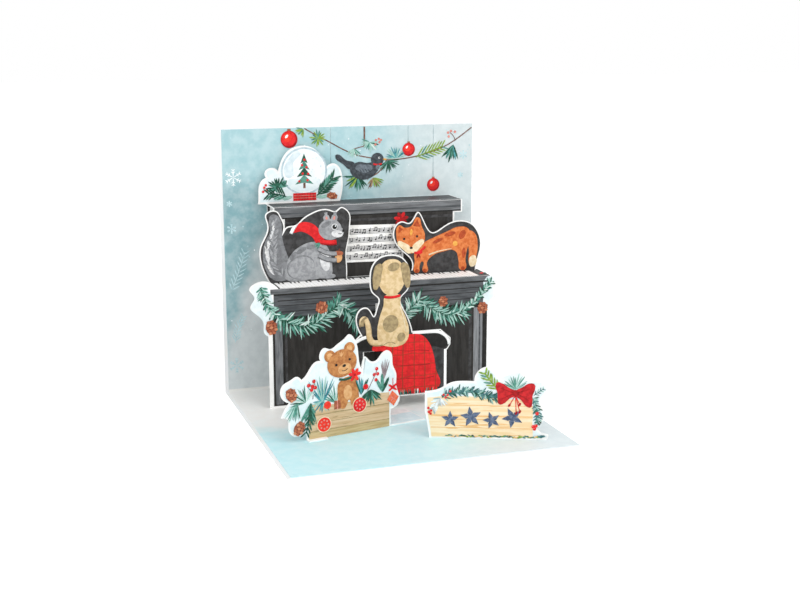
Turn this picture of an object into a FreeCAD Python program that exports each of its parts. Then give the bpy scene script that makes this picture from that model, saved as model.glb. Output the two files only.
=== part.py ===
import FreeCAD, Part
import Sketcher
import os
import re

# Pop-up greeting card, standing open at a right angle.
# Frame: the origin is the middle of the base's underside, +X to the right, +Y to the back, +Z up.
# Lengths are in millimetres and angles in degrees.

doc = FreeCAD.newDocument("greeting_card")
sheet = doc.addObject("Spreadsheet::Sheet", "Sizes")

SIZES = [
    # the folded cover and the printed liner glued inside it
    ("panel_wide", 133.35, "width of the card, a 5.25 inch square"),
    ("panel_deep", 133.35, "front to back of the base"),
    ("panel_tall", 133.35, "height of the back panel"),
    ("cover_card", 0.4, "thickness of the cover's card"),
    ("liner_card", 0.3, "thickness of the liner's paper"),
    ("liner_left", 1.7, "cover that shows left of the liner"),
    ("liner_right", 0.3, "cover that shows right of the liner"),
    ("liner_edge", 0.4, "cover that shows at the liner's front and top edges"),
    # card of the pop-up pieces
    ("plate_card", 0.5, "thickness of every die-cut piece"),
    ("glue_tab", 7.0, "length of a glue tab or foot"),
    ("strap_wide", 9.0, "width of a spacer strap"),
    # upper case of the piano
    ("piano_x", 5.0, "middle of the piano, right of the card's middle"),
    ("upper_step", 18.0, "back panel to the upper case's front"),
    ("upper_wide", 90.0, "width of the upper case"),
    ("cornice_wide", 98.4, "width of the cornice and the roof"),
    ("cornice_tall", 6.4, "height of the cornice's face"),
    ("roof_height", 95.5, "roof's top above the printed base"),
    ("hidden_leg_wide", 72.0, "width of the upper case behind the lower one"),
    ("back_tab_trim", 1.0, "how much the roof's glue tab is trimmed at each end"),
    # lower case of the piano
    ("lower_step", 18.0, "upper case's front to the lower case's front"),
    ("shelf_height", 59.0, "key shelf's top above the printed base"),
    ("slip_wide", 116.0, "width of the key shelf and its front edge"),
    ("slip_tall", 5.0, "height of the key shelf's front edge"),
    ("neck_wide", 109.0, "width of the lower front under the key shelf"),
    ("block_wide", 113.5, "width of the lower front between its pilasters"),
    ("block_tall", 42.0, "height of the pilasters"),
    # left and right sprays of the garland, past the case's ends
    ("spray_wide", 15.0, "how far a spray reaches, from its root on the case"),
    ("spray_tall", 27.6, "height of a spray"),
    ("left_spray_reach", 7.5, "left spray past the key shelf's end"),
    ("left_spray_rise", 35.0, "bottom of the left spray above the printed base"),
    ("right_spray_tall", 24.4, "height of the right spray"),
    ("right_spray_reach", 3.6, "right spray past the key shelf's end"),
    ("right_spray_rise", 34.5, "bottom of the right spray above the printed base"),
    # snow globe on the roof
    ("globe_stand", 3.5, "back panel to the back of the globe's plate"),
    ("globe_left", 53.5, "piano's middle to the left edge of the globe's plate"),
    ("globe_wide", 43.4, "width of the globe's plate"),
    ("globe_tall", 28.2, "height of the globe's plate"),
    ("globe_strap_rise", 14.0, "globe's strap above the roof"),
    # figures on the key shelf
    ("figure_stand", 3.0, "upper case's front to the back of the two figures"),
    ("figure_strap_rise", 14.0, "figures' straps above the key shelf"),
    ("squirrel_left", 57.0, "piano's middle to the left edge of the squirrel"),
    ("squirrel_wide", 45.6, "width of the squirrel"),
    ("squirrel_tall", 35.8, "height of the squirrel"),
    ("fox_right", 11.4, "piano's middle to the left edge of the fox"),
    ("fox_wide", 47.0, "width of the fox"),
    ("fox_tall", 31.6, "height of the fox"),
    # stool with its cloth and the puppy on it
    ("stool_step", 18.0, "lower case's front to the stool's plate"),
    ("seat_left", 21.5, "piano's middle to the left end of the stool's seat"),
    ("seat_wide", 51.2, "width of the stool's seat"),
    ("seat_tall", 8.4, "depth of the seat's face"),
    ("seat_height", 37.6, "seat's top above the printed base"),
    ("stool_leg_wide", 5.0, "width of a stool leg"),
    ("stool_leg_inset", 2.0, "seat's end to the leg"),
    ("cloth_along", 17.3, "seat's left end to the cloth"),
    ("cloth_wide", 27.2, "width of the cloth"),
    ("cloth_lift", 5.8, "cloth's fringe above the printed base"),
    ("puppy_along", 2.5, "seat's left end to the puppy's tail"),
    ("puppy_wide", 29.0, "width of the puppy with its tail"),
    ("puppy_tall", 42.4, "height of the puppy above the middle of the seat's face"),
    ("puppy_strap_along", 18.5, "seat's left end to the strap behind the puppy"),
    ("puppy_strap_height", 48.0, "strap behind the puppy above the printed base"),
    # crate with the teddy bear, front left
    ("crate_left", 52.1, "piano's middle to the crate's left foot corner"),
    ("crate_step", 53.1, "lower case's front to the crate's left foot corner"),
    ("crate_turn", 11.7, "turn of the crate, its right end further back"),
    ("crate_wide", 43.2, "width of the crate's wooden part"),
    ("crate_top", 17.0, "height of the crate's wooden part"),
    ("leaves_wide", 60.5, "width over the crate's leaves"),
    ("leaves_tall", 43.6, "height over the teddy bear, from under the leaves"),
    ("leaves_left", 12.5, "how far the leaves reach left of the crate"),
    ("leaves_lift", 2.8, "lowest leaf above the printed base"),
    ("crate_flap_along", 14.0, "crate's left foot corner to its foot flap"),
    ("crate_flap_wide", 48.0, "width of the crate's foot flap"),
    ("crate_flap_deep", 21.0, "front to back of the crate's foot flap"),
    ("crate_toe_wide", 9.6, "width of the short tab in front of the crate"),
    ("crate_toe_deep", 2.5, "front to back of the tab in front of the crate"),
    ("crate_strap_along", 22.1, "crate's left foot corner to its strap"),
    ("crate_strap_height", 14.0, "crate's strap above the printed base"),
    # sign, front right
    ("sign_right", 1.4, "piano's middle to the sign's left foot corner"),
    ("sign_step", 65.9, "lower case's front to the sign's left foot corner"),
    ("sign_turn", -22.6, "turn of the sign, its right end nearer the front"),
    ("sign_wide", 55.2, "width over the sign's leaves"),
    ("sign_tall", 33.4, "height over the sign's bow"),
    ("sign_overhang", 2.0, "how far the sign's edge reaches left of its foot"),
    ("sign_foot_wide", 53.0, "width of the sign's foot"),
    ("sign_strap_along", 29.8, "sign's left foot corner to its strap"),
    ("sign_strap_height", 3.2, "sign's strap above the printed base"),
    ("sign_strap_tab", 3.0, "length of the glue tabs on the sign's low strap"),
]
for row, (alias, number, note) in enumerate(SIZES, start=1):
    sheet.set(f"A{row}", alias)
    sheet.set(f"B{row}", str(number))
    sheet.setAlias(f"B{row}", alias)
    sheet.set(f"C{row}", note)
doc.recompute()

ALIASES = {alias for alias, number, note in SIZES}

# Places that follow from the sizes, as expressions of the sheet.
BASE_TOP = "(cover_card + liner_card)"
PANEL_FACE = "(panel_deep / 2 - cover_card - liner_card)"
ROOF_TOP = f"({BASE_TOP} + roof_height)"
SHELF_TOP = f"({BASE_TOP} + shelf_height)"
UPPER_Y = f"({PANEL_FACE} - upper_step)"
LOWER_Y = f"({UPPER_Y} - lower_step)"
FIGURE_Y = f"({UPPER_Y} - figure_stand - plate_card)"
STOOL_Y = f"({LOWER_Y} - stool_step)"
GLOBE_Y = f"({PANEL_FACE} - globe_stand - plate_card)"
SEAT_X = "(piano_x - seat_left)"



def size(alias):
    """The number in the sheet's cell of that name."""
    return float(sheet.get(alias))


BASE_TOP_MM = size("cover_card") + size("liner_card")
PANEL_FACE_MM = size("panel_deep") / 2 - BASE_TOP_MM
LOWER_Y_MM = PANEL_FACE_MM - size("upper_step") - size("lower_step")


def bind(thing, prop, text):
    """Tie a property to an expression whose words are names of cells."""

    def cell(word):
        return f"Sizes.{word.group()}" if word.group() in ALIASES else word.group()

    thing.setExpression(prop, re.sub(r"[a-z_]+", cell, text))


def bar(name, wide, deep, tall, x, y, z):
    """A flat stretch of card, from its sizes and its left, front, bottom corner."""
    made = doc.addObject("Part::Box", name)
    bind(made, "Length", wide)
    bind(made, "Width", deep)
    bind(made, "Height", tall)
    bind(made, "Placement.Base.x", x)
    bind(made, "Placement.Base.y", y)
    bind(made, "Placement.Base.z", z)
    return made


def cut_edge(points):
    """An edge through points: straight between two, smooth through more."""
    if len(points) == 2:
        return Part.LineSegment(*points).toShape()
    curve = Part.BSplineCurve()
    curve.interpolate(points)
    return curve.toShape()


def die_cut(name, outline, corners, wide, tall, x, y, z):
    """Card cut to an outline, which runs clockwise from its bottom left corner.

    The points are shares of the plate's width and height. The edge is smooth through
    them, apart from the points whose numbers are in corners, and straight along the foot.
    """
    points = [FreeCAD.Vector(across * size(wide), 0, up * size(tall)) for across, up in outline]
    ends = [0, *corners, len(points) - 1]
    edges = [cut_edge(points[first:last + 1]) for first, last in zip(ends, ends[1:])]
    edges.append(cut_edge([points[-1], points[0]]))
    edge = doc.addObject("Part::Feature", f"{name}_outline")
    edge.Shape = Part.Face(Part.Wire(edges))
    made = doc.addObject("Part::Extrusion", name)
    made.Base = edge
    made.DirMode = "Custom"
    made.Dir = FreeCAD.Vector(0, 1, 0)
    bind(made, "LengthFwd", "plate_card")
    made.Solid = True
    bind(made, "Placement.Base.x", x)
    bind(made, "Placement.Base.y", y)
    bind(made, "Placement.Base.z", z)
    return made


def one_sheet(name, stretches):
    """Stretches of one folded sheet, joined."""
    made = doc.addObject("Part::MultiFuse", name)
    made.Shapes = stretches
    made.Refine = True
    return made


def folded_pair(name, thickness, left, right, edge, under):
    """An L of card: a base and a back panel, joined along their fold.

    The sheet lies on another one of the thickness under, and stands back from its
    edges by left, right and edge.
    """
    body = doc.addObject("PartDesign::Body", name)
    side = next(o for o in body.Origin.OriginFeatures if o.Role == "YZ_Plane")
    profile = body.newObject("Sketcher::SketchObject", f"{name}_profile")
    profile.AttachmentSupport = [(side, "")]
    profile.MapMode = "FlatFace"
    front = f"-panel_deep / 2 + {edge}"
    back = f"panel_deep / 2 - {under}"
    top = f"panel_tall - {edge}"
    corners = [
        (front, under),
        (back, under),
        (back, top),
        (f"{back} - {thickness}", top),
        (f"{back} - {thickness}", f"{under} + {thickness}"),
        (front, f"{under} + {thickness}"),
    ]
    rough = [(-60, 1), (60, 1), (60, 120), (59, 120), (59, 2), (-60, 2)]
    count = len(corners)
    for k in range(count):
        start = FreeCAD.Vector(rough[k][0], rough[k][1], 0)
        end = FreeCAD.Vector(rough[(k + 1) % count][0], rough[(k + 1) % count][1], 0)
        profile.addGeometry(Part.LineSegment(start, end), False)
    for k in range(count):
        profile.addConstraint(Sketcher.Constraint("Coincident", k, 2, (k + 1) % count, 1))
    for k, (across, up) in enumerate(corners):
        place = profile.addConstraint(Sketcher.Constraint("DistanceX", -1, 1, k, 1, rough[k][0]))
        bind(profile, f"Constraints[{place}]", across)
        place = profile.addConstraint(Sketcher.Constraint("DistanceY", -1, 1, k, 1, rough[k][1]))
        bind(profile, f"Constraints[{place}]", up)
    pad = body.newObject("PartDesign::Pad", f"{name}_pad")
    pad.Profile = profile
    bind(pad, "Length", f"panel_wide - {left} - {right}")
    bind(body, "Placement.Base.x", f"-panel_wide / 2 + {left}")
    return body


def spacer(name, wide, x, front, back, z):
    """A strap between two upright faces: a level bar with a glue tab down at each end."""
    level = bar(f"{name}_bar", wide, f"{back} - {front}", "plate_card", x, front, z)
    near = bar(f"{name}_near_tab", wide, "plate_card", "glue_tab", x, front, f"{z} - glue_tab")
    far_y = f"{back} - plate_card"
    far = bar(f"{name}_far_tab", wide, "plate_card", "glue_tab", x, far_y, f"{z} - glue_tab")
    return one_sheet(name, [level, near, far])


def standing(name, stretches, x, step, turn):
    """A piece made in its own frame, then set on the base and turned about its left foot."""
    made = one_sheet(name, stretches)
    place = FreeCAD.Vector(x, LOWER_Y_MM - size(step), BASE_TOP_MM)
    made.Placement = FreeCAD.Placement(place, FreeCAD.Rotation(FreeCAD.Vector(0, 0, 1), size(turn)))
    return made


def behind(turned, x):
    """Y of a turned piece's back face, where a line square to the panel meets it at x."""
    normal = turned.Placement.Rotation.multVec(FreeCAD.Vector(0, 1, 0))
    on_back = turned.Placement.Base + normal * size("plate_card")
    return on_back.y - (x - on_back.x) * normal.x / normal.y


def long_strap(name, turned, along, height, tab):
    """A level strap from a turned piece back to the lower case, with a glue tab at each end."""
    left = turned.Placement.Base.x + size(along)
    right = left + size("strap_wide")
    level = BASE_TOP_MM + size(height)
    corners = [
        FreeCAD.Vector(left, behind(turned, left), level),
        FreeCAD.Vector(left, LOWER_Y_MM, level),
        FreeCAD.Vector(right, LOWER_Y_MM, level),
        FreeCAD.Vector(right, behind(turned, right), level),
    ]
    outline = doc.addObject("Part::Feature", f"{name}_outline")
    outline.Shape = Part.Face(Part.makePolygon(corners + corners[:1]))
    flat = doc.addObject("Part::Extrusion", f"{name}_bar")
    flat.Base = outline
    flat.DirMode = "Custom"
    flat.Dir = FreeCAD.Vector(0, 0, 1)
    bind(flat, "LengthFwd", "plate_card")
    flat.Solid = True
    drop = FreeCAD.Vector(0, 0, size(tab) - size("plate_card"))
    inwards = FreeCAD.Vector(0, size("plate_card"), 0)
    ends = [
        ("near", corners[0].distanceToPoint(corners[3]), corners[0] - drop, turned.Placement.Rotation),
        ("far", size("strap_wide"), corners[1] - inwards - drop, FreeCAD.Rotation()),
    ]
    stretches = [flat]
    for end, wide, corner, turn in ends:
        made = doc.addObject("Part::Box", f"{name}_{end}_tab")
        made.Length = wide
        bind(made, "Width", "plate_card")
        bind(made, "Height", tab)
        made.Placement = FreeCAD.Placement(corner, turn)
        stretches.append(made)
    return one_sheet(name, stretches)


# Cover and liner: each is one sheet with one fold.
card_cover = folded_pair("card_cover", "cover_card", "0", "0", "0", "0")
inner_liner = folded_pair(
    "inner_liner", "liner_card", "liner_left", "liner_right", "liner_edge", "cover_card"
)

# Upper case of the piano: glue tab, roof, cornice and front in one sheet. Its front runs
# down behind the lower case to a foot on the base.
roof = bar(
    "roof", "cornice_wide", "upper_step", "plate_card",
    "piano_x - cornice_wide / 2", UPPER_Y, f"{ROOF_TOP} - plate_card",
)
back_tab = bar(
    "roof_tab", "cornice_wide - 2 * back_tab_trim", "plate_card", "glue_tab",
    "piano_x - cornice_wide / 2 + back_tab_trim", f"{PANEL_FACE} - plate_card",
    f"{ROOF_TOP} - glue_tab",
)
cornice = bar(
    "cornice", "cornice_wide", "plate_card", "cornice_tall",
    "piano_x - cornice_wide / 2", UPPER_Y, f"{ROOF_TOP} - cornice_tall",
)
upper_front = bar(
    "upper_front", "upper_wide", "plate_card", "roof_height - shelf_height",
    "piano_x - upper_wide / 2", UPPER_Y, SHELF_TOP,
)
hidden_leg = bar(
    "hidden_leg", "hidden_leg_wide", "plate_card", "shelf_height",
    "piano_x - hidden_leg_wide / 2", UPPER_Y, BASE_TOP,
)
upper_foot = bar(
    "upper_foot", "hidden_leg_wide", "glue_tab", "plate_card",
    "piano_x - hidden_leg_wide / 2", UPPER_Y, BASE_TOP,
)
piano_upper_case = one_sheet(
    "piano_upper_case", [roof, back_tab, cornice, upper_front, hidden_leg, upper_foot]
)

# Lower case: glue tab, key shelf, front and foot in one sheet. Sprays of the garland are
# cut from the same sheet and stand out past its ends.
SPRAY = [
    (1.0, 0.04), (0.72, 0.02), (0.45, 0.1), (0.44, 0.26), (0.3, 0.4), (0.02, 0.58),
    (0.16, 0.74), (0.0, 0.88), (0.2, 0.99), (0.62, 1.0), (0.95, 0.86), (1.0, 0.8),
]
RIGHT_SPRAY = [
    (0.0, 0.04), (0.28, 0.02), (0.55, 0.1), (0.66, 0.28), (0.78, 0.42), (0.95, 0.54),
    (0.94, 0.72), (1.0, 0.88), (0.9, 0.99), (0.7, 0.97), (0.08, 0.88), (0.0, 0.8),
]
key_shelf = bar(
    "key_shelf", "slip_wide", "lower_step", "plate_card",
    "piano_x - slip_wide / 2", LOWER_Y, f"{SHELF_TOP} - plate_card",
)
shelf_tab = bar(
    "shelf_tab", "hidden_leg_wide", "plate_card", "glue_tab",
    "piano_x - hidden_leg_wide / 2", f"{UPPER_Y} - plate_card", f"{SHELF_TOP} - glue_tab",
)
slip = bar(
    "key_slip", "slip_wide", "plate_card", "slip_tall",
    "piano_x - slip_wide / 2", LOWER_Y, f"{SHELF_TOP} - slip_tall",
)
neck = bar(
    "lower_neck", "neck_wide", "plate_card", "shelf_height - block_tall",
    "piano_x - neck_wide / 2", LOWER_Y, f"{BASE_TOP} + block_tall",
)
block = bar(
    "lower_block", "block_wide", "plate_card", "block_tall",
    "piano_x - block_wide / 2", LOWER_Y, BASE_TOP,
)
lower_foot = bar(
    "lower_foot", "block_wide - 2 * glue_tab", "glue_tab", "plate_card",
    "piano_x - block_wide / 2 + glue_tab", LOWER_Y, BASE_TOP,
)
left_spray = die_cut(
    "left_spray", SPRAY, (), "spray_wide", "spray_tall",
    "piano_x - slip_wide / 2 - left_spray_reach", LOWER_Y, f"{BASE_TOP} + left_spray_rise",
)
right_spray = die_cut(
    "right_spray", RIGHT_SPRAY, (), "spray_wide", "right_spray_tall",
    "piano_x + slip_wide / 2 + right_spray_reach - spray_wide", LOWER_Y,
    f"{BASE_TOP} + right_spray_rise",
)
piano_lower_case = one_sheet(
    "piano_lower_case",
    [key_shelf, shelf_tab, slip, neck, block, lower_foot, left_spray, right_spray],
)

# Snow globe with pine leaves, standing on the roof.
GLOBE = [
    (0.0, 0.0), (0.01, 0.23), (0.03, 0.37), (0.1, 0.46), (0.1, 0.59), (0.16, 0.63), (0.24, 0.57),
    (0.27, 0.71), (0.31, 0.83), (0.37, 0.93), (0.47, 0.99), (0.56, 1.0), (0.66, 0.95), (0.74, 0.84),
    (0.79, 0.71), (0.81, 0.61), (0.85, 0.66), (0.91, 0.67), (0.97, 0.59), (1.0, 0.43), (1.0, 0.2),
    (0.97, 0.0),
]
GLOBE_CORNERS = (3, 6, 15)
globe_x = "piano_x - globe_left"
snow_globe = die_cut(
    "snow_globe", GLOBE, GLOBE_CORNERS, "globe_wide", "globe_tall", globe_x, GLOBE_Y, ROOF_TOP
)
globe_strap = spacer(
    "globe_strap", "strap_wide", f"{globe_x} + globe_wide / 2 - strap_wide / 2",
    f"({GLOBE_Y} + plate_card)", PANEL_FACE, f"{ROOF_TOP} + globe_strap_rise",
)

# Squirrel and fox, standing on the key shelf, each with a strap back to the upper case.
SQUIRREL = [
    (0.1, 0.0), (0.03, 0.19), (0.0, 0.36), (0.01, 0.51), (0.06, 0.64), (0.09, 0.75), (0.08, 0.85),
    (0.07, 0.94), (0.12, 0.99), (0.2, 0.98), (0.24, 0.9), (0.27, 0.81), (0.27, 0.72),
    (0.32, 0.77), (0.39, 0.78), (0.47, 0.86), (0.56, 0.93), (0.64, 0.97), (0.78, 0.97),
    (0.84, 0.95), (0.9, 1.0), (0.96, 0.97), (1.0, 0.9), (1.0, 0.74), (0.99, 0.58), (0.96, 0.4),
    (0.96, 0.23), (0.96, 0.0),
]
SQUIRREL_CORNERS = (12,)
FOX = [
    (0.18, 0.0), (0.18, 0.26), (0.08, 0.4), (0.0, 0.58), (0.02, 0.8), (0.1, 0.86), (0.17, 0.83),
    (0.27, 1.0), (0.34, 0.85), (0.44, 0.66), (0.58, 0.76), (0.74, 0.83), (0.88, 0.78),
    (0.97, 0.62), (1.0, 0.42), (0.96, 0.16), (0.94, 0.0),
]
squirrel_x = "piano_x - squirrel_left"
fox_x = "piano_x + fox_right"
squirrel = die_cut(
    "squirrel", SQUIRREL, SQUIRREL_CORNERS, "squirrel_wide", "squirrel_tall",
    squirrel_x, FIGURE_Y, SHELF_TOP,
)
fox = die_cut("fox", FOX, (), "fox_wide", "fox_tall", fox_x, FIGURE_Y, SHELF_TOP)
figure_back = f"({FIGURE_Y} + plate_card)"
figure_strap_z = f"{SHELF_TOP} + figure_strap_rise"
squirrel_strap = spacer(
    "squirrel_strap", "strap_wide", f"{squirrel_x} + squirrel_wide / 2",
    figure_back, UPPER_Y, figure_strap_z,
)
fox_strap = spacer(
    "fox_strap", "strap_wide", f"{fox_x} + fox_wide / 2 - strap_wide / 2",
    figure_back, UPPER_Y, figure_strap_z,
)

# Stool, its cloth and the puppy: one plate on two legs, with feet glued to the base.
PUPPY = [
    (0.36, 0.0), (0.18, 0.04), (0.06, 0.16), (0.02, 0.3), (0.1, 0.4), (0.24, 0.4), (0.33, 0.31),
    (0.38, 0.4), (0.41, 0.5), (0.31, 0.57), (0.26, 0.7), (0.3, 0.88), (0.42, 0.97), (0.61, 1.0),
    (0.8, 0.97), (0.92, 0.88), (0.96, 0.7), (0.9, 0.57), (0.8, 0.5), (0.87, 0.34),
    (0.98, 0.16), (1.0, 0.0),
]
SEAT = [
    (0.1, -0.24), (0.035, -0.24), (0.0, 0.06), (0.0, 0.46), (0.1, 1.0), (0.9, 1.0), (1.0, 0.46),
    (1.0, 0.06), (0.965, -0.24), (0.9, -0.24), (0.9, 0.0), (0.1, 0.0),
]
seat_z = f"{BASE_TOP} + seat_height - seat_tall"
seat = die_cut(
    "seat", SEAT, range(1, len(SEAT) - 1), "seat_wide", "seat_tall", SEAT_X, STOOL_Y, seat_z
)
cloth = bar(
    "cloth", "cloth_wide", "plate_card", "seat_height - cloth_lift",
    f"{SEAT_X} + cloth_along", STOOL_Y, f"{BASE_TOP} + cloth_lift",
)
left_leg_x = f"{SEAT_X} + stool_leg_inset"
right_leg_x = f"{SEAT_X} + seat_wide - stool_leg_inset - stool_leg_wide"
stool_parts = [seat, cloth]
for side, leg_x in (("left", left_leg_x), ("right", right_leg_x)):
    stool_parts.append(bar(
        f"stool_{side}_leg", "stool_leg_wide", "plate_card", "seat_height - seat_tall / 2",
        leg_x, STOOL_Y, BASE_TOP,
    ))
    stool_parts.append(bar(
        f"stool_{side}_foot", "stool_leg_wide", "glue_tab", "plate_card", leg_x, STOOL_Y, BASE_TOP
    ))
puppy = die_cut(
    "puppy", PUPPY, (), "puppy_wide", "puppy_tall",
    f"{SEAT_X} + puppy_along", STOOL_Y, f"{seat_z} + seat_tall / 2",
)
puppy_on_stool = one_sheet("puppy_on_stool", stool_parts + [puppy])
stool_back = f"({STOOL_Y} + plate_card)"
stool_strap = spacer(
    "stool_strap", "strap_wide", f"{SEAT_X} + cloth_along + cloth_wide / 2",
    stool_back, LOWER_Y, seat_z,
)
puppy_strap = spacer(
    "puppy_strap", "strap_wide", f"{SEAT_X} + puppy_strap_along",
    stool_back, LOWER_Y, f"{BASE_TOP} + puppy_strap_height",
)

# Crate with the teddy bear and leaves, on a foot flap that lies behind it.
LEAVES = [
    (0.18, 0.01), (0.13, 0.0), (0.08, 0.03), (0.06, 0.1), (0.06, 0.17), (0.0, 0.22), (0.03, 0.3),
    (0.07, 0.37), (0.02, 0.41), (0.0, 0.48), (0.02, 0.56), (0.08, 0.6), (0.13, 0.63), (0.17, 0.59),
    (0.23, 0.67), (0.28, 0.75), (0.33, 0.76), (0.33, 0.85), (0.36, 0.89), (0.41, 0.87),
    (0.47, 0.91), (0.53, 0.96), (0.57, 1.0), (0.61, 0.95), (0.64, 0.83), (0.65, 0.7), (0.67, 0.61),
    (0.68, 0.69), (0.7, 0.74), (0.74, 0.69), (0.8, 0.68), (0.85, 0.75), (0.9, 0.77), (0.93, 0.73),
    (0.94, 0.61), (0.97, 0.51), (0.97, 0.39), (0.99, 0.29), (1.0, 0.21), (0.96, 0.14), (0.91, 0.13),
]
LEAVES_CORNERS = (5, 7, 13, 16, 26)
crate_board = bar("crate_board", "crate_wide", "plate_card", "crate_top", "0", "0", "0")
leaves = die_cut(
    "crate_leaves", LEAVES, LEAVES_CORNERS, "leaves_wide", "leaves_tall",
    "-leaves_left", "0", "leaves_lift",
)
crate_flap = bar(
    "crate_flap", "crate_flap_wide", "crate_flap_deep", "plate_card", "crate_flap_along", "0", "0"
)
crate_toe = bar(
    "crate_toe", "crate_toe_wide", "crate_toe_deep", "plate_card", "0", "-crate_toe_deep", "0"
)
crate_x = size("piano_x") - size("crate_left")
crate = standing(
    "crate", [crate_board, leaves, crate_flap, crate_toe], crate_x, "crate_step", "crate_turn"
)

# Sign with its bow and sprigs, on a foot behind it.
SIGN = [
    (0.04, 0.0), (0.0, 0.39), (0.0, 0.65), (0.06, 0.66), (0.12, 0.69), (0.17, 0.74), (0.22, 0.78),
    (0.3, 0.8), (0.4, 0.8), (0.41, 0.89), (0.46, 0.98), (0.51, 1.0), (0.56, 0.94), (0.59, 0.87),
    (0.67, 0.92), (0.74, 0.95), (0.8, 0.91), (0.83, 0.84), (0.91, 0.83), (0.98, 0.79), (1.0, 0.72),
    (0.97, 0.63), (0.94, 0.54), (0.96, 0.41), (0.96, 0.27), (0.92, 0.16), (0.95, 0.1), (1.0, 0.08),
    (0.99, 0.0),
]
SIGN_CORNERS = (1, 2, 8, 13)
sign_board = die_cut(
    "sign_board", SIGN, SIGN_CORNERS, "sign_wide", "sign_tall", "-sign_overhang", "0", "0"
)
sign_foot = bar("sign_foot", "sign_foot_wide", "glue_tab", "plate_card", "0", "0", "0")
sign_x = size("piano_x") + size("sign_right")
sign = standing("sign", [sign_board, sign_foot], sign_x, "sign_step", "sign_turn")

# Straps that hold the crate and the sign upright from behind.
crate_strap = long_strap(
    "crate_strap", crate, "crate_strap_along", "crate_strap_height", "glue_tab"
)
sign_strap = long_strap(
    "sign_strap", sign, "sign_strap_along", "sign_strap_height", "sign_strap_tab"
)

NODES = [
    "card_cover", "inner_liner", "piano_upper_case", "piano_lower_case", "snow_globe",
    "globe_strap", "squirrel", "squirrel_strap", "fox", "fox_strap", "puppy_on_stool",
    "stool_strap", "puppy_strap", "crate", "crate_strap", "sign", "sign_strap",
]

doc.recompute()
for thing in doc.Objects:
    if {"Invalid", "Error"} & set(thing.State):
        raise RuntimeError(f"{thing.Name} has failed: {thing.State}")
for name in NODES:
    shape = doc.getObject(name).Shape
    if shape.isNull() or not shape.isValid() or len(shape.Solids) != 1:
        raise RuntimeError(f"{name} is not one sound solid")

os.makedirs("parts", exist_ok=True)
for name in NODES:
    doc.getObject(name).Label = name
    doc.getObject(name).Shape.exportStep(f"parts/{name}.step")
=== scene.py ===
import math
import random

import bmesh
import bpy
from mathutils import Matrix, Vector
from mathutils.bvhtree import BVHTree


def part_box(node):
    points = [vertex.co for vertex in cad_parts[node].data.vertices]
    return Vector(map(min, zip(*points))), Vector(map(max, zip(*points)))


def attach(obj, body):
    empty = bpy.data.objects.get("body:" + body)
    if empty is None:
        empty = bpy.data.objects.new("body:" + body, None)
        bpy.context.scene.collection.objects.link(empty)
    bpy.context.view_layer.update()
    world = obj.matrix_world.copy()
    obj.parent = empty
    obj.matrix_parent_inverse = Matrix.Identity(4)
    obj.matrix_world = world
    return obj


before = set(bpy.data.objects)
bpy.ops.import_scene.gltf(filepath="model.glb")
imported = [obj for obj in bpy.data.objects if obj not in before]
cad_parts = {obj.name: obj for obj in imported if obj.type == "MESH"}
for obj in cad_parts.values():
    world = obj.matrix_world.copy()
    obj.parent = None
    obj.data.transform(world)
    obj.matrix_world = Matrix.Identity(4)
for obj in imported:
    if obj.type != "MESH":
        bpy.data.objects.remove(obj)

bl_info = {
    "name": "Pop-up piano card",
    "version": (1, 0, 0),
    "blender": (4, 5, 0),
    "location": "View3D > Sidebar > Card",
    "description": "Prints and finishes for a pop-up greeting card with a piano",
    "category": "Object",
}

# Sizes are millimetres of the printed sheet unless a name says otherwise.
MM = 0.001
INK = 0.05  # how far one layer of print stands off the layer under it, so that it shows on top
OVERHANG = 0.1  # how far ink may stand past a cut edge before it is drawn back to that edge
STEP = 0.001  # how far each touch stands off the last one, so that no two lie in one plane
TURNS = 40  # touches before the step starts again
THICK = INK * 1.2  # how thick a touch is, so that it reaches down to the layer under it
WELD = STEP / 5  # corners closer than this become one


def lowest(node):
    """Lowest corner of a CAD node, in millimetres."""
    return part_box(node)[0] / MM


def highest(node):
    """Highest corner of a CAD node, in millimetres."""
    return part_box(node)[1] / MM


BASE_TOP = lowest("piano_upper_case").z
BACK_FACE = highest("piano_upper_case").y
ROOF_TOP = highest("piano_upper_case").z
ROOF_LEFT = lowest("piano_upper_case").x
ROOF_RIGHT = highest("piano_upper_case").x
UPPER_FACE = lowest("piano_upper_case").y
LOWER_FACE = lowest("piano_lower_case").y
SHELF_TOP = lowest("squirrel").z
STOOL_FACE = lowest("puppy_on_stool").y
FIGURE_FACE = lowest("squirrel").y
GLOBE_FACE = lowest("snow_globe").y
CARD = 0.5  # thickness of a die-cut piece
FOLD = CARD + 0.05  # on a plate with a foot, the wash starts this high
CRATE_FOOT = (-47.1, -23.125)
CRATE_TURN = 11.7
SIGN_FOOT = (6.4, -35.925)
SIGN_TURN = -22.6


def upright(x, y, z, turn=0.0):
    """From a face's own millimetres (across, up, out) to the frame, for a face that looks forward."""
    place = Matrix.Translation(Vector((x, y, z)) * MM) @ Matrix.Rotation(math.radians(turn), 4, "Z")
    return place @ Matrix.Rotation(math.pi / 2, 4, "X") @ Matrix.Scale(MM, 4)


def flat(z, x=0.0, y=0.0, turn=0.0):
    """From a level face's own millimetres (across, back, up) to the frame."""
    place = Matrix.Translation(Vector((x, y, z)) * MM) @ Matrix.Rotation(math.radians(turn), 4, "Z")
    return place @ Matrix.Scale(MM, 4)


def linear(colour):
    """An sRGB hex colour as linear red, green, blue and alpha."""
    parts = [int(colour[k:k + 2], 16) / 255 for k in (1, 3, 5)]
    turned = [p / 12.92 if p <= 0.04045 else ((p + 0.055) / 1.055) ** 2.4 for p in parts]
    return (*turned, 1.0)


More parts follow.
